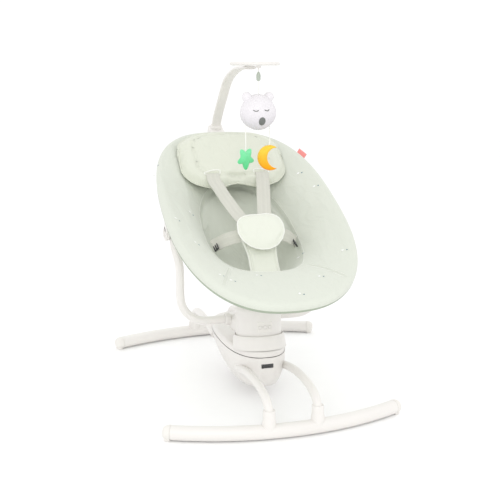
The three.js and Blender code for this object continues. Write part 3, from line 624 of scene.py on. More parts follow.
class SWING_OT_stand(bpy.types.Operator):
    """Foot bars, end caps and arched legs"""

    bl_idname = "swing.stand"
    bl_label = "Stand"

    def execute(self, context):
        for end, bar in (("front", FRONT_BAR), ("rear", REAR_BAR)):
            finished(f"{end}_bar_tube", foot_bar(bar), "powder_coated_steel", "base",
                     [f"{end}_foot_bar"])
            for side, sign in SIDES:
                finished(f"{end}_{side}_cap", foot_cap(bar, sign), "moulded_elastomer", "base",
                         [f"{end}_{side}_foot_cap"])
                finished(f"{end}_{side}_leg_tube", round_bar(leg_points(bar, sign * LEG_X), LEG_R),
                         "powder_coated_steel", "base", [f"{end}_{side}_leg"])
        return {"FINISHED"}


# ---- housing and neck ----------------------------------------------------------------------
def hull_point(angle, up, reach=1.0, inset=0.0):
    """The boat-shaped lower shell: up is 0 at its keel and 1 at the seam."""
    x, y = superellipse(angle, HOUSING_LENGTH / 2 - inset, HOUSING_WIDTH / 2 - inset, HOUSING_ROUND)
    belly = 0.66 + 0.34 * math.sin(up * math.pi / 2) ** 0.8
    px, py = reach * x * belly, HOUSING_MID + reach * y * belly - 48 * (1 - up) ** 1.5
    keel = HOUSING_KEEL + 0.00087 * max(0, py + 40) ** 2
    return Vector((px, py, keel + (HOUSING_SEAM - keel) * up))


def lower_shell():
    """Keel, flank and the inner lip at the seam, as one skin."""
    def place(u, v):
        angle = 2 * math.pi * u
        if v < 0.2:
            return hull_point(angle, 0.0, v / 0.2)
        if v < 0.86:
            return hull_point(angle, ((v - 0.2) / 0.66) ** 1.4)
        if v < 0.94:
            inward = (v - 0.86) / 0.08
            return hull_point(angle, 1.0, inset=3 * inward) - Vector((0, 0, 0.5 * inward))
        return hull_point(angle, 1.0, inset=3) - Vector((0, 0, 0.5 + 120 * (v - 0.94)))
    return surface(144, 64, place)


def upper_shell():
    """Deck with a rounded edge and the collar round the neck."""
    low = HOUSING_SEAM + 1.6

    def place(u, v):
        angle = 2 * math.pi * u
        if v < 0.25:
            inset, z = 1.0, low + (DECK_TOP - low - 8) * v / 0.25
        elif v < 0.55:
            turn = (v - 0.25) / 0.3 * math.pi / 2
            inset, z = 1.0 + 8 * (1 - math.cos(turn)), DECK_TOP - 8 + 8 * math.sin(turn)
        else:
            inset, z = None, DECK_TOP
        shrink = 1.0 if inset is not None else 1 - (v - 0.55) / 0.45
        trim = inset or 9
        x, y = superellipse(angle, HOUSING_LENGTH / 2 - trim, HOUSING_WIDTH / 2 - trim, HOUSING_ROUND)
        return Vector((x * shrink, HOUSING_MID + y * shrink, z))

    deck = surface(144, 40, place)
    lip = [(11.5, 22), (9.8, 27), (9.2, 33), (8.4, 42), (6.6, COLLAR_TOP - 3), (5.2, COLLAR_TOP - 0.6),
           (3.6, COLLAR_TOP), (2, COLLAR_TOP - 0.8), (1.2, COLLAR_TOP - 3), (1.2, 30)]
    collar = turned([(NECK_R + out, up) for out, up in lip], 96)
    return gathered(deck, moved(collar, NECK))


def neck_skin():
    """Round tower with a soft shoulder, and the yoke that holds the support arms."""
    shoulder = [(NECK_R - 16 + 16 * math.cos(a), NECK_TOP - 16 + 16 * math.sin(a))
                for a in (math.radians(d) for d in range(0, 91, 9))]
    outline = [(NECK_R - 4, 14), (NECK_R - 1, 14.5), (NECK_R, 17), *shoulder, (0, NECK_TOP)]
    tower = moved(turned(outline, 96), NECK)
    yoke = moved(block((122, 64, 42), (0, 50, 79.5), 14, 6), NECK)
    ferrule = [(11.6, 0), (16.5, 0), (16.5, 10), (15.6, 12.5), (14.2, 14), (11.6, 14)]
    rings = [side_turned([(r, sign * h) for r, h in ferrule], (sign * 61, ARM_Y, ARM_Z)) for sign in (-1, 1)]
    return gathered(tower, yoke, *rings)


def curved_plate(half_turn, low, high, inner, outer):
    """Part of a ring's wall, bulged to a soft pillow and sunk round the keys, for the control panel."""
    def place(u, v):
        turn, up = (2 * u - 1) * half_turn, low + (high - low) * v
        edge = max(abs(2 * u - 1), abs(2 * v - 1))
        radius = outer if edge < 0.86 else outer - (outer - inner) * ((edge - 0.86) / 0.14) ** 2
        for angle in KEY_ANGLES.values():
            away = math.hypot((turn - math.radians(angle)) * outer, up - KEY_HEIGHT)
            radius = min(radius, outer - 8 * (1 - eased((away - 4.9) / 0.5)))
        return Vector((radius * math.sin(turn), -radius * math.cos(turn), up))
    return surface(150, 100, place)


class SWING_OT_housing(bpy.types.Operator):
    """Lower and upper housing, dark window, neck, control panel and keys"""

    bl_idname = "swing.housing"
    bl_label = "Housing and neck"

    def execute(self, context):
        finished("housing_hull", lower_shell(), "moulded_abs", "base", ["lower_housing"])
        finished("housing_deck", upper_shell(), "moulded_abs", "base", ["upper_housing"])
        window = block((32, 7, 11), (0, -195.6, 101), 1.6)
        finished("dark_window", window, "smoked_polycarbonate", "base", ["display_window"])
        finished("neck_tower", neck_skin(), "moulded_abs", "swing_unit", ["neck_shell"])
        plate = moved(curved_plate(math.radians(21), 66.5, 95.5, NECK_R - 3.5, NECK_R + 0.8), NECK)
        finished("key_panel", plate, "moulded_elastomer", "swing_unit", ["control_panel"])
        cap = [(0, NECK_R - 4), (4.4, NECK_R - 4), (4.5, NECK_R + 1.2), (4.1, NECK_R + 1.8),
               (3.2, NECK_R + 2.1), (1.6, NECK_R + 1.9), (0, NECK_R + 1.8)]
        for job, angle in KEY_ANGLES.items():
            turn = Matrix.Rotation(math.radians(angle), 4, "Z") @ Matrix.Translation((0, 0, KEY_HEIGHT))
            key = moved(turned(cap, 40), NECK @ turn @ Matrix.Rotation(math.pi / 2, 4, "X"))
            finished(f"{job}_key_cap", key, "moulded_abs", f"{job}_key", [f"{job}_button"])
        return {"FINISHED"}


# ---- support arms --------------------------------------------------------------------------
def arm_points(sign):
    """The arm's centre line: out of the yoke, up, and on to the recline hub."""
    bend_x, bend_z = ARM_X - ARM_BEND, ARM_Z + ARM_BEND
    points = [(40, ARM_Y, ARM_Z), (80, ARM_Y, ARM_Z), (bend_x, ARM_Y, ARM_Z)]
    for turn in (math.radians(d) for d in (18, 36, 54, 72, 90)):
        points.append((bend_x + ARM_BEND * math.sin(turn), ARM_Y, bend_z - ARM_BEND * math.cos(turn)))
    points += [(ARM_X, ARM_Y, 300), (ARM_X + 1, ARM_Y + 2, 345), (ARM_X + 8, ARM_Y + 10, 380),
               (ARM_X + 10, HUB_Y, HUB_Z - HUB_R - 2)]
    return curve_through([(sign * x, y, z) for x, y, z in points], 96)


def hub(sign):
    """Bearing disc with rounded rims, and the sleeve over the arm's end."""
    wide = HUB_OUTER - HUB_INNER
    profile = [(5.2, 0), (17.5, 0), (19.3, 0.8), (HUB_R, 2.8), (HUB_R, wide - 2.8),
               (19.3, wide - 0.8), (17.5, wide), (5.2, wide), (5.2, 0)]
    start = HUB_INNER if sign > 0 else -HUB_OUTER
    disc = side_turned(profile, (start, HUB_Y, HUB_Z))
    sleeve = round_bar(evenly([Vector((sign * (ARM_X + 8.6), ARM_Y + 11.5, 386)),
                               Vector((sign * (ARM_X + 10), HUB_Y, HUB_Z - 10))], 12), 12.8, 40)
    return gathered(disc, sleeve)


class SWING_OT_arms(bpy.types.Operator):
    """Support arms and recline hubs"""

    bl_idname = "swing.arms"
    bl_label = "Support arms"

    def execute(self, context):
        for side, sign in SIDES:
            finished(f"arm_tube_{side}", round_bar(arm_points(sign), ARM_R, 32, (0, 1, 0)),
                     "powder_coated_steel", "swing_unit", [f"support_arm_{side}"])
            finished(f"recline_hub_{side}", hub(sign), "moulded_abs", "swing_unit",
                     [f"arm_hub_{side}"])
        return {"FINISHED"}


# ---- seat ----------------------------------------------------------------------------------
def rim_height(x, s):
    return 20 * (s / RIM_HALF) ** 2 + 28 * (x / RIM_SIDE) ** 2


def on_seat(y, z):
    """A place on the swing's mid-plane, along the seat and above it."""
    spot = SEAT.inverted() @ Vector((0, y, z))
    return spot.y, spot.z


def ring_point(angle, inset=TUBE_IN):
    x, s = superellipse(angle, RIM_HALF - inset, RIM_SIDE - inset, RIM_ROUND)
    return Vector((x, s, rim_height(x, s)))


def edge_point(angle):
    """The seam where the bucket meets the padded band."""
    x, s = superellipse(angle, BUCKET_HALF, BUCKET_SIDE, BUCKET_ROUND)
    rise = FOOT_RISE * max(0, -math.cos(angle)) ** 2
    return Vector((x, s + BUCKET_MID, -56 + 16 * math.cos(angle) ** 2 + rise))


def bucket_point(angle, reach):
    edge = edge_point(angle)
    s = BUCKET_MID + (edge.y - BUCKET_MID) * reach
    floor = -120 + 56 * eased((s + 50) / 230)
    return Vector((edge.x * reach, s, floor + (edge.z - floor) * reach ** 4))


PANEL_SEAMS = (((-106, -206), (-150, -312)), ((95, -210), (148, -312)))


def from_line(x, s, line):
    """Distance of a place on the seat from a seam's line."""
    a, b, p = Vector(line[0]), Vector(line[1]), Vector((x, s))
    share = min(1.0, max(0.0, (p - a).dot(b - a) / (b - a).length_squared))
    return (p - a.lerp(b, share)).length


def loose(x, s, seed):
    """Soft folds of stretched cloth, a few centimetres apart."""
    slow = noise.noise(Vector((x / 62, s / 78, seed)))
    quick = noise.noise(Vector((x / 26 + s / 60, s / 46, seed + 7.3)))
    return 0.7 * slow + 0.3 * quick


def wrapped(outward, turn, radius):
    """A place on the fabric round the ring, which hangs lower under the tube than it stands over it."""
    fall = radius * math.sin(turn) * (1.55 if turn < 0 else 1.0)
    return outward * (radius * math.cos(turn)) + Vector((0, 0, fall))


def cover_section(angle, count_in, count_band, count_wrap):
    """One slice of the padded cover, from the bucket's middle over the rim and back underneath."""
    size = sizes()
    wrap = size.wrap_radius * 1000
    puff, seam, wrinkle = size.band_puff * 1000, size.seam_depth * 1000, size.wrinkle * 1000
    edge, tube = edge_point(angle), ring_point(angle)
    outward = Vector((tube.x - edge.x, tube.y - edge.y, 0)).normalized()
    climb = math.atan2(tube.z - edge.z, Vector((tube.x - edge.x, tube.y - edge.y)).length)
    top, under = [], []
    up = Vector((0, 0, 1))
    normal = (up * math.cos(climb) - outward * math.sin(climb)).normalized()
    for i in range(count_in):
        reach = i / count_in
        p = bucket_point(angle, reach)
        fold = wrinkle * 0.9 * loose(p.x, p.y, 3.1) * eased(reach * 2) * eased((1 - reach) * 5)
        top.append(p + up * (fold + 3 * math.sin(math.pi * reach) - seam * dip(1 - reach, 0.035)))
        under.append(bucket_point(angle, reach * 0.985) - up * 9)
    touch = tube + normal * wrap
    for i in range(count_band + 1):
        share = i / count_band
        p = edge.lerp(touch, share)
        swell = puff * math.sin(math.pi * share) ** 0.7
        pull = seam * dip(share, 0.045)
        for line in PANEL_SEAMS:
            pull += seam * 0.75 * dip(from_line(p.x, p.y, line), 4.5)
        fold = wrinkle * loose(p.x, p.y, 1.7) * math.sin(math.pi * share)
        top.append(p + normal * (swell + fold - pull))
        if share < 0.9:
            under.append(p - normal * 9)
    start = math.pi / 2 + climb
    for i in range(1, count_wrap + 1):
        turn = start - (start + math.radians(118)) * i / count_wrap
        top.append(tube + wrapped(outward, turn, wrap))
    return top, under[::-1]


def cover_shape():
    """The whole padded cover as one closed skin round the seat's ring."""
    around, slices = 384, []
    for i in range(around):
        top, under = cover_section(2 * math.pi * i / around, 40, 44, 16)
        slices.append(top + under)
    along = len(slices[0]) - 1
    bm = surface(around, along, lambda u, v: slices[round(u * around) % around][round(v * along)])
    uv = bm.loops.layers.uv.verify()
    for face in bm.faces:
        for loop in face.loops:
            loop[uv].uv = (loop.vert.co.x * MM, loop.vert.co.y * MM)
    return moved(bm, SEAT)


def stitches(points, normals, radius=0.55):
    """A row of sewing stitches along a line, each a short rounded thread."""
    size = sizes()
    pitch = (size.stitch_length + size.stitch_gap) * 1000
    length = sum((b - a).length for a, b in zip(points, points[1:]))
    count = max(2, round(length / pitch))
    line = evenly(points, count * 3 + 1)
    rise = evenly_normals(normals, len(line))
    parts = []
    for k in range(count):
        a, b = line[3 * k], line[3 * k + 2]
        up = rise[3 * k + 1]
        path = [a - up * 0.5, a + up * 0.35, a.lerp(b, 0.5) + up * 0.6, b + up * 0.35, b - up * 0.5]
        parts.append(round_bar(path, radius, 5, up.orthogonal()))
    return gathered(*parts)


def evenly_normals(normals, count):
    return [normals[round(i * (len(normals) - 1) / (count - 1))] for i in range(count)]


def star_print(under, x, s, radius, points=5, turn=0.0):
    """A flat printed star or triangle lying just over the cloth."""
    bm = bmesh.new()
    ring = bmesh.ops.create_circle(bm, cap_ends=True, radius=1, segments=points * 2)["verts"]
    for i, vert in enumerate(ring):
        angle = math.atan2(vert.co.y, vert.co.x) + turn
        reach = radius * (1.0 if i % 2 else 0.46)
        vert.co, _ = under(x + reach * math.cos(angle), s + reach * math.sin(angle), 0.45)
    return bm


# where the print's stars lie, across and along the seat
PRINTS = ((-223, 212), (-155, 47), (-211, -39), (104, -119), (200, 87), (180, -206), (-148, -266),
          (-127, -290), (-52, -254), (91, -292), (20, -358), (178, 165), (-176, -120))


class SWING_OT_seat_cover(bpy.types.Operator):
    """Padded seat cover with its prints, stitches, binding and ring; the binding's darker colour is partly
    painted shade
    """

    bl_idname = "swing.seat_cover"
    bl_label = "Seat cover"

    def execute(self, context):
        cover = finished("padded_cover", cover_shape(), "printed_jersey", "seat",
                         ["seat_cover"], crease=80)
        under = seen_from_above(cover)
        size = sizes().print_size * 1000
        stars = [star_print(under, x, s, size, 5, 0.7 * i) for i, (x, s) in enumerate(PRINTS)]
        finished("cover_stars", moved(gathered(*stars), SEAT), "printed_white_ink", "seat", renormal=False)
        marks = [star_print(under, x + 9, s - 5, size * 0.62, 3, 1.1 * i) for i, (x, s) in enumerate(PRINTS)]
        finished("cover_triangles", moved(gathered(*marks), SEAT), "printed_ink", "seat", renormal=False)
        rows = []
        for line in PANEL_SEAMS:
            a, b = Vector(line[0]), Vector(line[1])
            for offset in (-5, 5):
                across = Vector(((b - a).y, -(b - a).x)).normalized() * offset
                run = [under(*(a.lerp(b, i / 20) + across), 0.2) for i in range(21)]
                rows.append(stitches([p for p, _ in run], [n for _, n in run]))
        run = []
        for i in range(181):
            p = edge_point(2 * math.pi * i / 180)
            outer = ring_point(2 * math.pi * i / 180)
            inner = p.lerp(outer, 0.07)
            run.append(under(inner.x, inner.y, 0.2))
        rows.append(stitches([p for p, _ in run], [n for _, n in run]))
        finished("cover_stitches", moved(gathered(*rows), SEAT), "spun_thread", "seat")
        # the binding band's darker colour is partly painted shade under the rim
        finished("rim_binding_band", moved(binding_and_shade_band(), SEAT), "rim_binding_and_shade", "seat")
        for side, sign in SIDES:
            finished(f"ring_sleeve_{side}", moved(ring_sleeve(sign), SEAT), "moulded_abs", "seat",
                     [f"ring_joint_{side}"])
            finished(f"recline_key_cap_{side}", moved(recline_key(sign), SEAT), "moulded_abs",
                     f"recline_key_{side}", [f"recline_button_{side}"])
        return {"FINISHED"}


def binding_and_shade_band():
    """Darker tape sewn round the rim's lower side; its darker colour is partly painted shade under the rim."""
    wrap = sizes().wrap_radius * 1000

    def place(u, v):
        angle = 2 * math.pi * u
        tube, edge = ring_point(angle), edge_point(angle)
        outward = Vector((tube.x - edge.x, tube.y - edge.y, 0)).normalized()
        share = 2 * v if v <= 0.5 else 2 - 2 * v
        turn = math.radians(-22 - 76 * share)
        lift = 0.8 * math.sin(math.pi * share) ** 0.3 if v <= 0.5 else -0.6
        return tube + wrapped(outward, turn, wrap + lift)

    return surface(288, 24, place)


def ring_sleeve(sign):
    """Sleeve over the ring tubes' ends, with the lug and pin of the recline hinge."""
    x, z = RIM_SIDE - TUBE_IN, rim_height(RIM_SIDE - TUBE_IN, 0)
    s, h = on_seat(HUB_Y, HUB_Z)
    sleeve = round_bar([Vector((sign * x, t, z)) for t in (-27.6, -26, -14, 0, 14, 26, 27.6)], 12, 32)
    rim = [(17.5, 0), (19, 1.5), (19, 9.5), (17.5, 11)]
    if sign > 0:
        lug_profile = [(0, 0), *rim, (9.8, 11), (9.8, 5), (0, 5)]
    else:
        lug_profile = [(0, 6), (9.8, 6), (9.8, 0), *rim, (0, 11)]
    lug = side_turned(lug_profile, (LUG_INNER if sign > 0 else -LUG_OUTER, s, h))
    web = block((11, 28, z - h - 12), (sign * 224, s, (z + h) / 2 + 2), 3.5)
    pin = side_turned([(0, 0), (5, 0), (5, 27), (0, 27)], (194 if sign > 0 else -221, s, h))
    return gathered(sleeve, lug, web, pin)


def recline_key(sign):
    s, h = on_seat(HUB_Y, HUB_Z)
    profile = [(0, 0), (9, 0), (9.2, 4.8), (8.4, 6.1), (6.5, 6.5), (3, 5.8), (0, 5.6)]
    if sign < 0:
        profile = [(r, -z) for r, z in profile]
    return side_turned(profile, (sign * 226.5, s, h))


# ---- padding that is inflated as cloth -----------------------------------------------------
def inflate(piece, voxel, cap, pressure=4.0):
    """Blows a closed shape up as a sewn cushion, holds how far any point may go, and keeps the result."""
    start = piece.data.copy()
    remesh = piece.modifiers.new("even_cloth", "REMESH")
    remesh.mode = "VOXEL"
    remesh.voxel_size = voxel
    graph = bpy.context.evaluated_depsgraph_get()
    even = bpy.data.meshes.new_from_object(piece.evaluated_get(graph))
    piece.modifiers.clear()
    piece.data = even
    rest = [v.co.copy() for v in even.vertices]
    cloth = piece.modifiers.new("stuffing", "CLOTH")
    cloth.settings.use_pressure = True
    cloth.settings.uniform_pressure_force = pressure
    cloth.settings.effector_weights.gravity = 0.0
    cloth.settings.tension_stiffness = 12
    cloth.settings.compression_stiffness = 12
    cloth.settings.bending_stiffness = 0.4
    cloth.point_cache.frame_start = 1
    cloth.point_cache.frame_end = 20
    scene = bpy.context.scene
    for step in range(1, 21):
        scene.frame_set(step)
    graph = bpy.context.evaluated_depsgraph_get()
    blown = bpy.data.meshes.new_from_object(piece.evaluated_get(graph))
    piece.modifiers.clear()
    for vert, was in zip(blown.vertices, rest):
        step = vert.co - was
        if step.length > cap:
            vert.co = was + step * (cap / step.length)
    for material in start.materials:
        if blown.materials.find(material.name) < 0:
            blown.materials.append(material)
    bm = bmesh.new()
    bm.from_mesh(blown)
    for _ in range(3):
        bmesh.ops.smooth_vert(
            bm, verts=bm.verts, factor=0.5, use_axis_x=True, use_axis_y=True, use_axis_z=True)
    bmesh.ops.subdivide_edges(bm, edges=bm.edges, cuts=1, smooth=1.0, use_grid_fill=True)
    bm.to_mesh(blown)
    bm.free()
    blown.shade_smooth()
    piece.data = blown
    scene.frame_set(1)


def pillow_outline(angle):
    """Wide rounded outline whose lower edge rises in the middle, between two lobes."""
    x, s = superellipse(angle, 1, 1, 2.8)
    notch = 17 * math.exp(-(x * PILLOW_HALF / 46) ** 2) if s < 0 else 0
    return x * PILLOW_HALF, PILLOW_S + s * (110 if s < 0 else 108) + notch


def pillow_rest(s):
    """Height of the pillow's edge seam, which climbs towards the head end."""
    return PILLOW_LOW + PILLOW_CLIMB * (s - PILLOW_S)


def pillow_shape():
    """Two faces that meet at the edge seam: the upper one full, the lower one nearly flat."""
    swell = sizes().pillow_swell * 1000

    def place(u, v):
        x, s = pillow_outline(2 * math.pi * u)
        top = v <= 0.5
        reach = (2 * v if top else 2 - 2 * v) ** 0.8
        px, ps = x * reach, PILLOW_S + (s - PILLOW_S) * reach
        crown = math.sqrt(max(0.0, 1 - reach ** 5))
        return Vector((px, ps, pillow_rest(ps) + crown * (swell if top else -9)))

    return surface(128, 64, place)


class SWING_OT_pillow(bpy.types.Operator):
    """Head pillow with its edge piping, inner panel and strap slots"""

    bl_idname = "swing.pillow"
    bl_label = "Head pillow"

    def execute(self, context):
        pillow = finished("head_pillow_pad", moved(pillow_shape(), SEAT), "brushed_jersey", "seat",
                          ["head_pillow"], crease=80)
        inflate(pillow, 0.005, 0.008)
        back = SEAT.inverted()
        for vert in pillow.data.vertices:
            spot = back @ (vert.co * 1000)
            inner = (abs(spot.x / 106) ** 4 + abs((spot.y - PILLOW_S) / 74) ** 4) ** 0.25
            turn = math.atan2(spot.x / PILLOW_HALF, (spot.y - PILLOW_S) / 109)
            ox, os = pillow_outline(turn)
            reach = math.hypot(spot.x, spot.y - PILLOW_S) / max(1.0, math.hypot(ox, os - PILLOW_S))
            groove = 4.6 * dip((inner - 1) * 90, 6) + 2.2 * dip((reach - 0.92) * 120, 4)
            groove += 1.0 * loose(spot.x, spot.y, 9.2) * (1 if reach < 0.9 else 0)
            normal = vert.normal.copy()
            vert.co = vert.co - normal * (groove * MM)
        pillow.data.update()
        top = seen_from_above(pillow)
        skin = seen_from_edge(pillow, SEAT)
        path = []
        for i in range(161):
            x, s = pillow_outline(2 * math.pi * i / 160)
            level = pillow_rest(s) + 7
            path.append(skin(Vector((x, s, level)), Vector((x * 0.2, PILLOW_S, level))))
        piping = round_bar(path, 1.9, 10, (0, 0, 1), close=False)
        finished("pillow_piping", moved(piping, SEAT), "brushed_jersey", "seat")
        slots = []
        for _, sign in SIDES:
            ring = []
            for i in range(41):
                a = 2 * math.pi * i / 40
                x, s = superellipse(a, 5.5, 22, 3.4)
                spot, _ = top(sign * 70 + x, 172 + s, 0.7)
                ring.append(spot)
            slots.append(round_bar(ring, 1.7, 8, (0, 0, 1), close=False))
        finished("strap_slot_edges", moved(gathered(*slots), SEAT), "spun_thread", "seat")
        return {"FINISHED"}


# ---- harness -------------------------------------------------------------------------------
def band(points, width, thick, up=(0, 0, 1), count=48):
    """Flat webbing along a path, its face turned up, with woven edges that are slightly thicker."""
    path = curve_through(points, count)
    length = sum((b - a).length for a, b in zip(path, path[1:]))
    first = Vector(up).cross(path[1] - path[0]).normalized()

    def section(angle, share):
        x, z = superellipse(angle, thick / 2, width / 2, 5)
        edge = 1 + 0.5 * dip(abs(x) / (width / 2) - 0.93, 0.06)
        return x, z * edge

    return swept(path, section, 32, first, span=(2 * width * MM, length * MM))


SHIELD_TILT = 24


def shield_matrix():
    return Matrix.Translation((1, -92, 17)) @ Matrix.Rotation(math.radians(SHIELD_TILT), 4, "X")


def shield_outline(angle):
    """Wide rounded top, tapering to a round foot."""
    x, y = superellipse(angle, 1, 1, 2.5)
    taper = 1 - 0.26 * max(0, -y) ** 1.3
    return x * 64 * taper, y * 55 + (-4 * math.cos(x * 3) if y > 0 else 0)


def shield_shape():
    """Two padded faces with a stitched border."""
    def place(u, v):
        x, y = shield_outline(2 * math.pi * u)
        share = 2 * v if v <= 0.5 else 2 - 2 * v
        reach = share ** 0.75
        crown = math.sqrt(max(0.0, 1 - reach ** 6)) * 6.2
        crown -= 1.6 * dip((reach - 0.86) * 60, 3.2)
        return Vector((x * reach, y * reach, crown if v <= 0.5 else -crown * 0.7))
    return surface(112, 56, place)


def crotch_outline(share):
    """Half widths of the pad from its foot to its wings: plain on the right, flared on the left."""
    flare = eased((share - 0.52) / 0.48)
    return 37 + 11 * flare, 37 + 3 * flare


def crotch_centre(share):
    """The pad's middle line, climbing from the bucket's front edge to the buckle."""
    s = -200 + 116 * share
    return Vector((0, s, -52 + 47 * eased(share) - 8 * math.sin(math.pi * share)))


def crotch_up(share):
    """The direction that the pad faces, square to its middle line."""
    slope = (crotch_centre(min(1, share + 0.01)) - crotch_centre(max(0, share - 0.01))).normalized()
    return Vector((1, 0, 0)).cross(slope)


def crotch_shape():
    def place(u, v):
        left, right = crotch_outline(v)
        angle = 2 * math.pi * u
        x, z = superellipse(angle, 5.6, 1, 3.6)
        half = right if x > 0 else left
        centre = crotch_centre(v)
        up = crotch_up(v)
        groove = 1.8 * dip((abs(x) - 0.86) * half, 3.0) if z > 0 else 0
        return centre + Vector((x * half, 0, 0)) + up * (z - groove)
    return surface(64, 60, place, fill_ends=True)


def crotch_edge(sign, inset, lift):
    path = []
    for i in range(50):
        share = i / 49
        left, right = crotch_outline(share)
        half = right if sign > 0 else left
        beside = Vector((sign * half * inset, 0, 0))
        path.append(crotch_centre(share) + beside + crotch_up(share) * lift)
    return path


class SWING_OT_harness(bpy.types.Operator):
    """Shoulder and waist webbing, adjusters, buckle, shield and crotch pad"""

    bl_idname = "swing.harness"
    bl_label = "Harness"

    def execute(self, context):
        pillow_top = seen_from_above(bpy.data.objects["head_pillow_pad"])
        width = sizes().strap_width * 1000
        for side, sign in SIDES:
            slot = pillow_top(sign * 70, 172, 0)[0]
            lip = pillow_top(sign * 69, 150, 3.0)[0]
            route = [slot - Vector((0, 0, 4)), slot + Vector((0, -6, 2)), lip, (sign * 64, 122, 16),
                     (sign * 52, 70, 9), (sign * 38, 10, 5), (sign * 24, -46, 7)]
            shoulder = band(route, width, 2.4)
            finished(f"shoulder_webbing_{side}", moved(shoulder, SEAT), "gauze_webbing", "seat",
                     [f"shoulder_strap_{side}"])
            waist = [(sign * 112, -62, -47), (sign * 104, -64, -39), (sign * 84, -74, -19),
                     (sign * 60, -82, -4), (sign * 34, -86, 3)]
            belt = band(waist, 34, 2.4, (0, -0.5, 0.85))
            finished(f"waist_webbing_{side}", moved(belt, SEAT), "gauze_webbing", "seat",
                     [f"waist_strap_{side}"])
            finished(f"waist_glide_{side}", moved(glide(sign), SEAT), "smoked_polycarbonate", "seat",
                     [f"waist_adjuster_{side}"])
        body = block((46, 40, 12), (0, -84, 3), 3)
        finished("buckle_body", moved(body, SEAT), "moulded_abs", "seat", ["buckle"])
        key = block((16, 12, 3.4), (0, -88, 7.9), 1.2)
        finished("buckle_key_cap", moved(key, SEAT), "moulded_acetal", "buckle_key",
                 ["buckle_button"])
        on_shield = SEAT @ shield_matrix()
        shield = finished("shield_pad", moved(shield_shape(), on_shield), "quilting_cotton", "seat",
                          ["buckle_shield"], crease=80)
        inflate(shield, 0.003, 0.003)
        skin = seen_from_edge(shield, on_shield)
        border = []
        for i in range(121):
            x, y = shield_outline(2 * math.pi * i / 120)
            border.append(skin(Vector((x, y, 2)), Vector((0, 0, 2))))
        cord = round_bar(border, 1.5, 10, (0, 0, 1), close=False)
        finished("shield_piping", moved(cord, on_shield), "spun_thread", "seat")
        pad = finished("crotch_pad_cloth", moved(crotch_shape(), SEAT), "quilting_cotton", "seat",
                       ["crotch_pad"], crease=80)
        edges = []
        for _, sign in SIDES:
            edges.append(round_bar(crotch_edge(sign, 1.0, 0), 1.5, 10))
            line = crotch_edge(sign, 0.86, 4.2)
            edges.append(stitches(line, [Vector((0, -0.35, 0.94))] * len(line), 0.5))
        finished("crotch_pad_piping", moved(gathered(*edges), SEAT), "spun_thread", "seat")
        return {"FINISHED"}


def glide(sign):
    """Ladder slide that the waist webbing runs through, standing at the bucket's side."""
    turn = Matrix.Translation((sign * 107, -63, -42)) @ Matrix.Rotation(sign * math.radians(52), 4, "Y")
    bars = [block((2.6, 40, 4), (x, 0, 0), 1.1) for x in (-6, 0, 6)]
    ends = [block((14.6, 3, 4.4), (0, y, 0), 1.1) for y in (-19, 19)]
    return moved(gathered(*bars, *ends), turn)


# ---- label tab -----------------------------------------------------------------------------
class SWING_OT_label_tab(bpy.types.Operator):
    """Plain folded tape tab sewn into the rim"""

    bl_idname = "swing.label_tab"
    bl_label = "Label tab"

    def execute(self, context):
        # where the rim's outline passes the tab's two ends
        middle = math.atan2((LABEL_X / RIM_SIDE) ** (RIM_ROUND / 2), (LABEL_S / RIM_HALF) ** (RIM_ROUND / 2))

        def place(u, v):
            angle = middle + 0.11 * (u - 0.5)
            tube, edge = ring_point(angle), edge_point(angle)
            out = Vector((tube.x - edge.x, tube.y - edge.y, 0)).normalized()
            fold = 2 * v if v <= 0.5 else 2 - 2 * v
            rounded = (0.9 if v <= 0.5 else -0.9) * math.cos(fold ** 6 * math.pi / 2)
            return tube + out * (11 + 22 * fold) + Vector((0, 0, 4 + rounded + 5 * fold))

        finished("label_tape", moved(surface(20, 24, place), SEAT), "woven_tape", "seat")
        return {"FINISHED"}


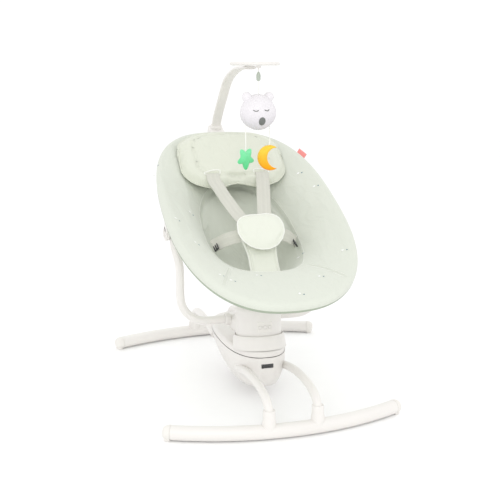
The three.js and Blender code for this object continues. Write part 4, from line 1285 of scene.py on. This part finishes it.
# ---- toy arch ------------------------------------------------------------------------------
class SWING_OT_arch(bpy.types.Operator):
    """Arch socket, blade, disc, hook and clip"""

    bl_idname = "swing.arch"
    bl_label = "Toy arch"

    def execute(self, context):
        socket = block((44, 52.5, 30), (0, 423.75, 7), 7, 5)
        finished("arch_socket_block", moved(socket, SEAT), "moulded_abs", "seat",
                 ["arch_socket"])
        tip = [on_seat(82, 843), on_seat(0, 847.2), on_seat(-40, 847.3)]
        route = [(0, ARCH_ROOT, 26), (0, ARCH_ROOT - 1, 48), (0, 400, 130), (0, 361, 212)]
        route += [(0, s, h) for s, h in tip]
        path = curve_through(route, 96)

        blade = swept(path, lambda a, v: superellipse(a, 4.5, 14, 3.4), 40, (1, 0, 0))
        foot = shifted(turned([(0, 22.4), (17, 22.4), (17, 28), (15.5, 30), (0, 30)], 48), 0, ARCH_ROOT, 0)
        finished("arch_blade", moved(gathered(blade, foot), SEAT), "moulded_abs", "arch",
                 ["toy_arch"])
        low, high = DISC_Z - DISC_THICK / 2, DISC_Z + DISC_THICK / 2
        rounded = [(0, low), (56, low), (59.5, low + 0.6), (62.4, low + 2), (DISC_R, DISC_Z),
                   (62.4, high - 2), (59.5, high - 0.6), (55, high - 0.2), (54, high - 0.9),
                   (53, high - 0.2), (0, high)]
        disc = shifted(turned(rounded, 96), 0, DISC_Y, 0)
        finished("mobile_disc_plate", disc, "moulded_abs", "arch", ["mobile_disc"])
        hook = [(0, CLIP_TOP + 0.9), (1.2, CLIP_TOP + 0.9), (1.8, 845), (3.2, 846.2), (5.6, 847),
                (6, 848), (6, low - 0.5), (0, low - 0.4)]
        finished("mobile_hook_pin", shifted(turned(hook, 32), 0, HANG_Y, 0), "moulded_abs",
                 "mobile", ["mobile_hook"])
        clip = [(0, CLIP_BOTTOM), (2.6, CLIP_BOTTOM), (4.6, CLIP_BOTTOM + 2), (5.4, CLIP_BOTTOM + 5),
                (5.0, 822), (5.4, 824), (5.4, CLIP_TOP - 9), (4.2, CLIP_TOP - 5), (1.4, CLIP_TOP),
                (0, CLIP_TOP)]
        finished("mobile_clip_body", shifted(turned(clip, 32), 0, HANG_Y, 0), "pale_acetal",
                 "bear", ["mobile_clip"])
        return {"FINISHED"}


# ---- toys ----------------------------------------------------------------------------------
def bear_surface(direction, lift=0.0):
    """The head's skin in a direction from its middle: full cheeks, a soft muzzle and a slight chin."""
    d = Vector(direction).normalized()
    wide = BEAR_R * (1 + 0.05 * math.cos((d.z + 0.25) * 2.4))
    deep = BEAR_R - 5
    reach = 1 / math.sqrt((d.x / wide) ** 2 + (d.y / deep) ** 2 + (d.z / BEAR_R) ** 2)
    muzzle = 3.4 * math.exp(-((d.x / 0.42) ** 2 + ((d.z + 0.5) / 0.36) ** 2)) if d.y < 0 else 0
    return Vector((BEAR_X, HANG_Y, BEAR_Z)) + d * (reach + muzzle + lift)


def bear_shape():
    """Head with two round ears, one short pile over all of it."""
    bm = bmesh.new()
    bmesh.ops.create_icosphere(bm, subdivisions=6, radius=1)
    pile = sizes().pile_height * 1000
    ears = [Vector((sign * 28, 2, 36)) for _, sign in SIDES]
    middle = Vector((BEAR_X, HANG_Y, BEAR_Z))
    for vert in bm.verts:
        d = vert.co.normalized()
        reach = (bear_surface(d) - middle).length
        spot = d * reach
        # an ear is a ball of 13 mm that the head's skin swells over
        for ear in ears:
            toward = d.dot(ear)
            miss = ear.length_squared - toward * toward
            if toward > 0 and miss < 13.5 ** 2:
                out = toward + math.sqrt(13.5 ** 2 - miss)
                if out > reach:
                    spot = d * (reach + (out - reach) * eased(min(1, (13.5 - math.sqrt(miss)) / 3.0)))
        vert.co = middle + spot + d * pile * noise.noise(spot * 0.9) * 1.3
    return bm


def arc_on_bear(x, z, width, drop):
    """A closed sleeping eye: a short stitched curve on the fur."""
    path = []
    for i in range(13):
        t = 2 * i / 12 - 1
        dx, dz = (x + width * t) / BEAR_R, (z - drop * (1 - t * t) + drop) / BEAR_R
        dy = -math.sqrt(max(0.05, 1 - dx * dx - dz * dz))
        path.append(bear_surface((dx, dy, dz), 0.7))
    return round_bar(path, 0.95, 8, (0, 1, 0))


def facing(x, z, turn):
    """Where a toy's middle hangs, turned a little about its cord."""
    return Matrix.Translation((x, HANG_Y, z)) @ Matrix.Rotation(math.radians(turn), 4, "Z")


def star_shape():
    """Fat five-pointed cushion with one point straight down."""
    pile = sizes().pile_height * 1000

    def place(u, v):
        angle = 2 * math.pi * u
        lobe = 0.5 + 0.5 * math.cos(5 * angle)
        rim = STAR_R * (0.60 + 0.40 * lobe ** 1.5)
        share = 2 * v if v <= 0.5 else 2 - 2 * v
        reach = math.sin(share * math.pi / 2) ** 0.9
        crown = 9 * (1 - reach ** 2.6) ** 0.55
        x, z = rim * reach * math.sin(angle), -rim * reach * math.cos(angle)
        fuzz = pile * noise.noise(Vector((x, z, v * 9)) * 0.9)
        return Vector((x * (1 + fuzz / 30), (-crown if v <= 0.5 else crown) - fuzz, z))

    return moved(surface(160, 56, place), facing(STAR_X, STAR_Z, STAR_TURN))


def moon_shape():
    """Fat crescent: round section that swells in the middle and closes at both tips."""
    outer, inner, shift = MOON_R, MOON_R * 0.82, MOON_R * 0.62
    meet = math.acos((shift * shift + outer * outer - inner * inner) / (2 * shift * outer))
    pile = sizes().pile_height * 1000

    def place(u, v):
        turn = meet + (2 * math.pi - 2 * meet) * v
        out = Vector((math.cos(turn), 0, math.sin(turn)))
        # the inner edge is where the line to the outer edge leaves the bite
        along = shift * out.x
        near = along + math.sqrt(max(0.0, along * along - shift * shift + inner * inner))
        near = min(outer, max(0.0, near))
        half = (outer - near) / 2
        angle = 2 * math.pi * u
        thick = min(8.5, half * 1.15)
        fuzz = pile * noise.noise(Vector((u * 30, v * 60, 3)))
        across = (outer + near) / 2 + (half + fuzz) * math.cos(angle)
        return out * across + Vector((0, (thick + fuzz) * math.sin(angle), 0))

    return moved(surface(40, 120, place), facing(MOON_X, MOON_Z, MOON_TURN))


def hanging(name, x, top, bottom, body, node):
    """A straight limp cord hanging at its whole length, with a twist in its braid."""
    path = [Vector((x, HANG_Y, top + (bottom - top) * i / 24)) for i in range(25)]

    def section(angle, share):
        ridge = CORD_R * (1 + 0.05 * math.cos(3 * angle + share * (top - bottom) * 1.3))
        return ridge * math.cos(angle), ridge * math.sin(angle)

    cord = finished(name, swept(path, section, 18), "spun_thread", body, [node])
    points = [tuple(p * MM) for p in path]
    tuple(points[0])
    return cord


def bear_underside(x):
    return BEAR_Z - BEAR_R * math.sqrt(1 - ((x - BEAR_X) / (BEAR_R * 1.04)) ** 2)


class SWING_OT_toys(bpy.types.Operator):
    """Hanging plush bear, star and moon with their cords"""

    bl_idname = "swing.toys"
    bl_label = "Plush toys"

    def execute(self, context):
        bear = finished("bear_plush", bear_shape(), "white_pile", "bear",
                        ["plush_bear"], crease=80)
        eyes = gathered(arc_on_bear(-17, 4, 6.5, 3.0), arc_on_bear(13, 5, 6.5, 3.0))
        finished("bear_closed_eyes", eyes, "moulded_acetal", "bear")
        nose = bmesh.new()
        bmesh.ops.create_icosphere(nose, subdivisions=4, radius=1)
        down = 21
        out = (BEAR_R - 5) * math.sqrt(1 - (down / BEAR_R) ** 2)
        slope = math.atan2(down / BEAR_R ** 2, out / (BEAR_R - 5) ** 2)
        bmesh.ops.scale(nose, vec=(8.6, 4.6, 11), verts=nose.verts)
        muzzle = Matrix.Translation((BEAR_X, HANG_Y - out - 2.2, BEAR_Z - down))
        moved(nose, muzzle @ Matrix.Rotation(slope, 4, "X"))
        finished("bear_nose_button", nose, "moulded_acetal", "bear", ["bear_nose"])
        star = finished("star_plush", star_shape(), "green_pile", "star",
                        ["plush_star"], crease=80)
        moon = finished("moon_plush", moon_shape(), "yellow_pile", "moon",
                        ["plush_moon"], crease=80)
        hanging("bear_cord_braid", 0, CLIP_BOTTOM - GAP, BEAR_Z + BEAR_R + GAP, "bear", "bear_cord")
        star_top, moon_top = STAR_Z + STAR_R * 0.6 + CORD_R, MOON_Z + MOON_R + GAP
        hanging("star_cord_braid", STAR_X, bear_underside(STAR_X) - 2, star_top, "star", "star_cord")
        hanging("moon_cord_braid", MOON_X, bear_underside(MOON_X) - 2, moon_top, "moon", "moon_cord")
        return {"FINISHED"}


# ---- frame pieces that keep their own shape ------------------------------------------------
KEPT = {
    "powder_coated_steel": ("ring_head_tube", "ring_foot_tube"),
    "turned_steel": ("swing_shaft", "lower_bearing", "upper_bearing", "drive_motor"),
    "cut_brass": ("sector_gear", "drive_pinion"),
    "solder_mask": ("circuit_board",),
    "smoked_polycarbonate": ("speaker",),
}


class SWING_OT_frame_finishes(bpy.types.Operator):
    """Finishes for the frame pieces that keep their own shape"""

    bl_idname = "swing.frame_finishes"
    bl_label = "Frame finishes"

    def execute(self, context):
        for finish, names in KEPT.items():
            for name in names:
                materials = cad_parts[name].data.materials
                materials.clear()
                materials.append(finish_of(finish))
        return {"FINISHED"}


# ---- studio --------------------------------------------------------------------------------
class SWING_OT_studio(bpy.types.Operator):
    """Pale floor, soft lights and the camera"""

    bl_idname = "swing.studio"
    bl_label = "Studio"

    def execute(self, context):
        bm = bmesh.new()
        bmesh.ops.create_grid(bm, x_segments=4, y_segments=4, size=9)
        mesh = bpy.data.meshes.new("studio_floor")
        bm.to_mesh(mesh)
        bm.free()
        floor = bpy.data.objects.new("studio_floor", mesh)
        context.scene.collection.objects.link(floor)
        # seamless paper: matt, with the faintest unevenness
        mesh.materials.append(hard_finish("seamless_paper", colours().floor, 0.88, 60.0, 0.0))
        world = bpy.data.worlds.new("soft_room")
        world.use_nodes = True
        world.node_tree.nodes["Background"].inputs["Color"].default_value = (1.0, 1.0, 1.0, 1.0)
        world.node_tree.nodes["Background"].inputs["Strength"].default_value = 1.07
        context.scene.world = world
        for name, place, size, power in (("key_light", (-1.2, -3.0, 1.9), 2.0, 22.0),
                                         ("fill_light", (2.6, -1.8, 2.2), 2.4, 3.0),
                                         ("back_light", (0.6, 2.6, 2.8), 2.4, 6.0)):
            light = bpy.data.lights.new(name, "AREA")
            light.energy = power
            light.size = size
            lamp = bpy.data.objects.new(name, light)
            lamp.location = place
            lamp.rotation_euler = (Vector((0, 0, 0.4)) - Vector(place)).to_track_quat("-Z", "Y").to_euler()
            context.scene.collection.objects.link(lamp)
        lens = bpy.data.cameras.new("viewpoint")
        lens.lens = 62.3
        lens.sensor_width = 36
        camera = bpy.data.objects.new("viewpoint", lens)
        camera.location = (-0.6197, -2.2046, 0.856)
        camera.rotation_euler = (math.radians(77.87), 0, math.radians(-15.94))
        context.scene.collection.objects.link(camera)
        context.scene.camera = camera
        context.scene.view_settings.view_transform = "Standard"
        return {"FINISHED"}


class SWING_PT_panel(bpy.types.Panel):
    """Lists the swing's pieces in the sidebar"""

    bl_idname = "SWING_PT_panel"
    bl_label = "Baby swing"
    bl_space_type = "VIEW_3D"
    bl_region_type = "UI"
    bl_category = "Swing"

    def draw(self, context):
        for group in (context.scene.swing_sizes, context.scene.swing_colours):
            box = self.layout.box()
            for name in group.__annotations__:
                box.prop(group, name)
        for step in STEPS:
            self.layout.operator(step.bl_idname)


STEPS = (SWING_OT_studio, SWING_OT_frame_finishes, SWING_OT_stand, SWING_OT_housing, SWING_OT_arms,
         SWING_OT_seat_cover, SWING_OT_pillow, SWING_OT_harness, SWING_OT_label_tab, SWING_OT_arch,
         SWING_OT_toys)
CLASSES = (SwingSizes, SwingColours, *STEPS, SWING_PT_panel)


def register():
    for cls in CLASSES:
        bpy.utils.register_class(cls)
    bpy.types.Scene.swing_sizes = bpy.props.PointerProperty(type=SwingSizes)
    bpy.types.Scene.swing_colours = bpy.props.PointerProperty(type=SwingColours)


def unregister():
    del bpy.types.Scene.swing_colours
    del bpy.types.Scene.swing_sizes
    for cls in reversed(CLASSES):
        bpy.utils.unregister_class(cls)


def main():
    register()
    for step in STEPS:
        getattr(bpy.ops.swing, step.bl_idname.split(".")[1])()


if __name__ == "__main__":
    main()
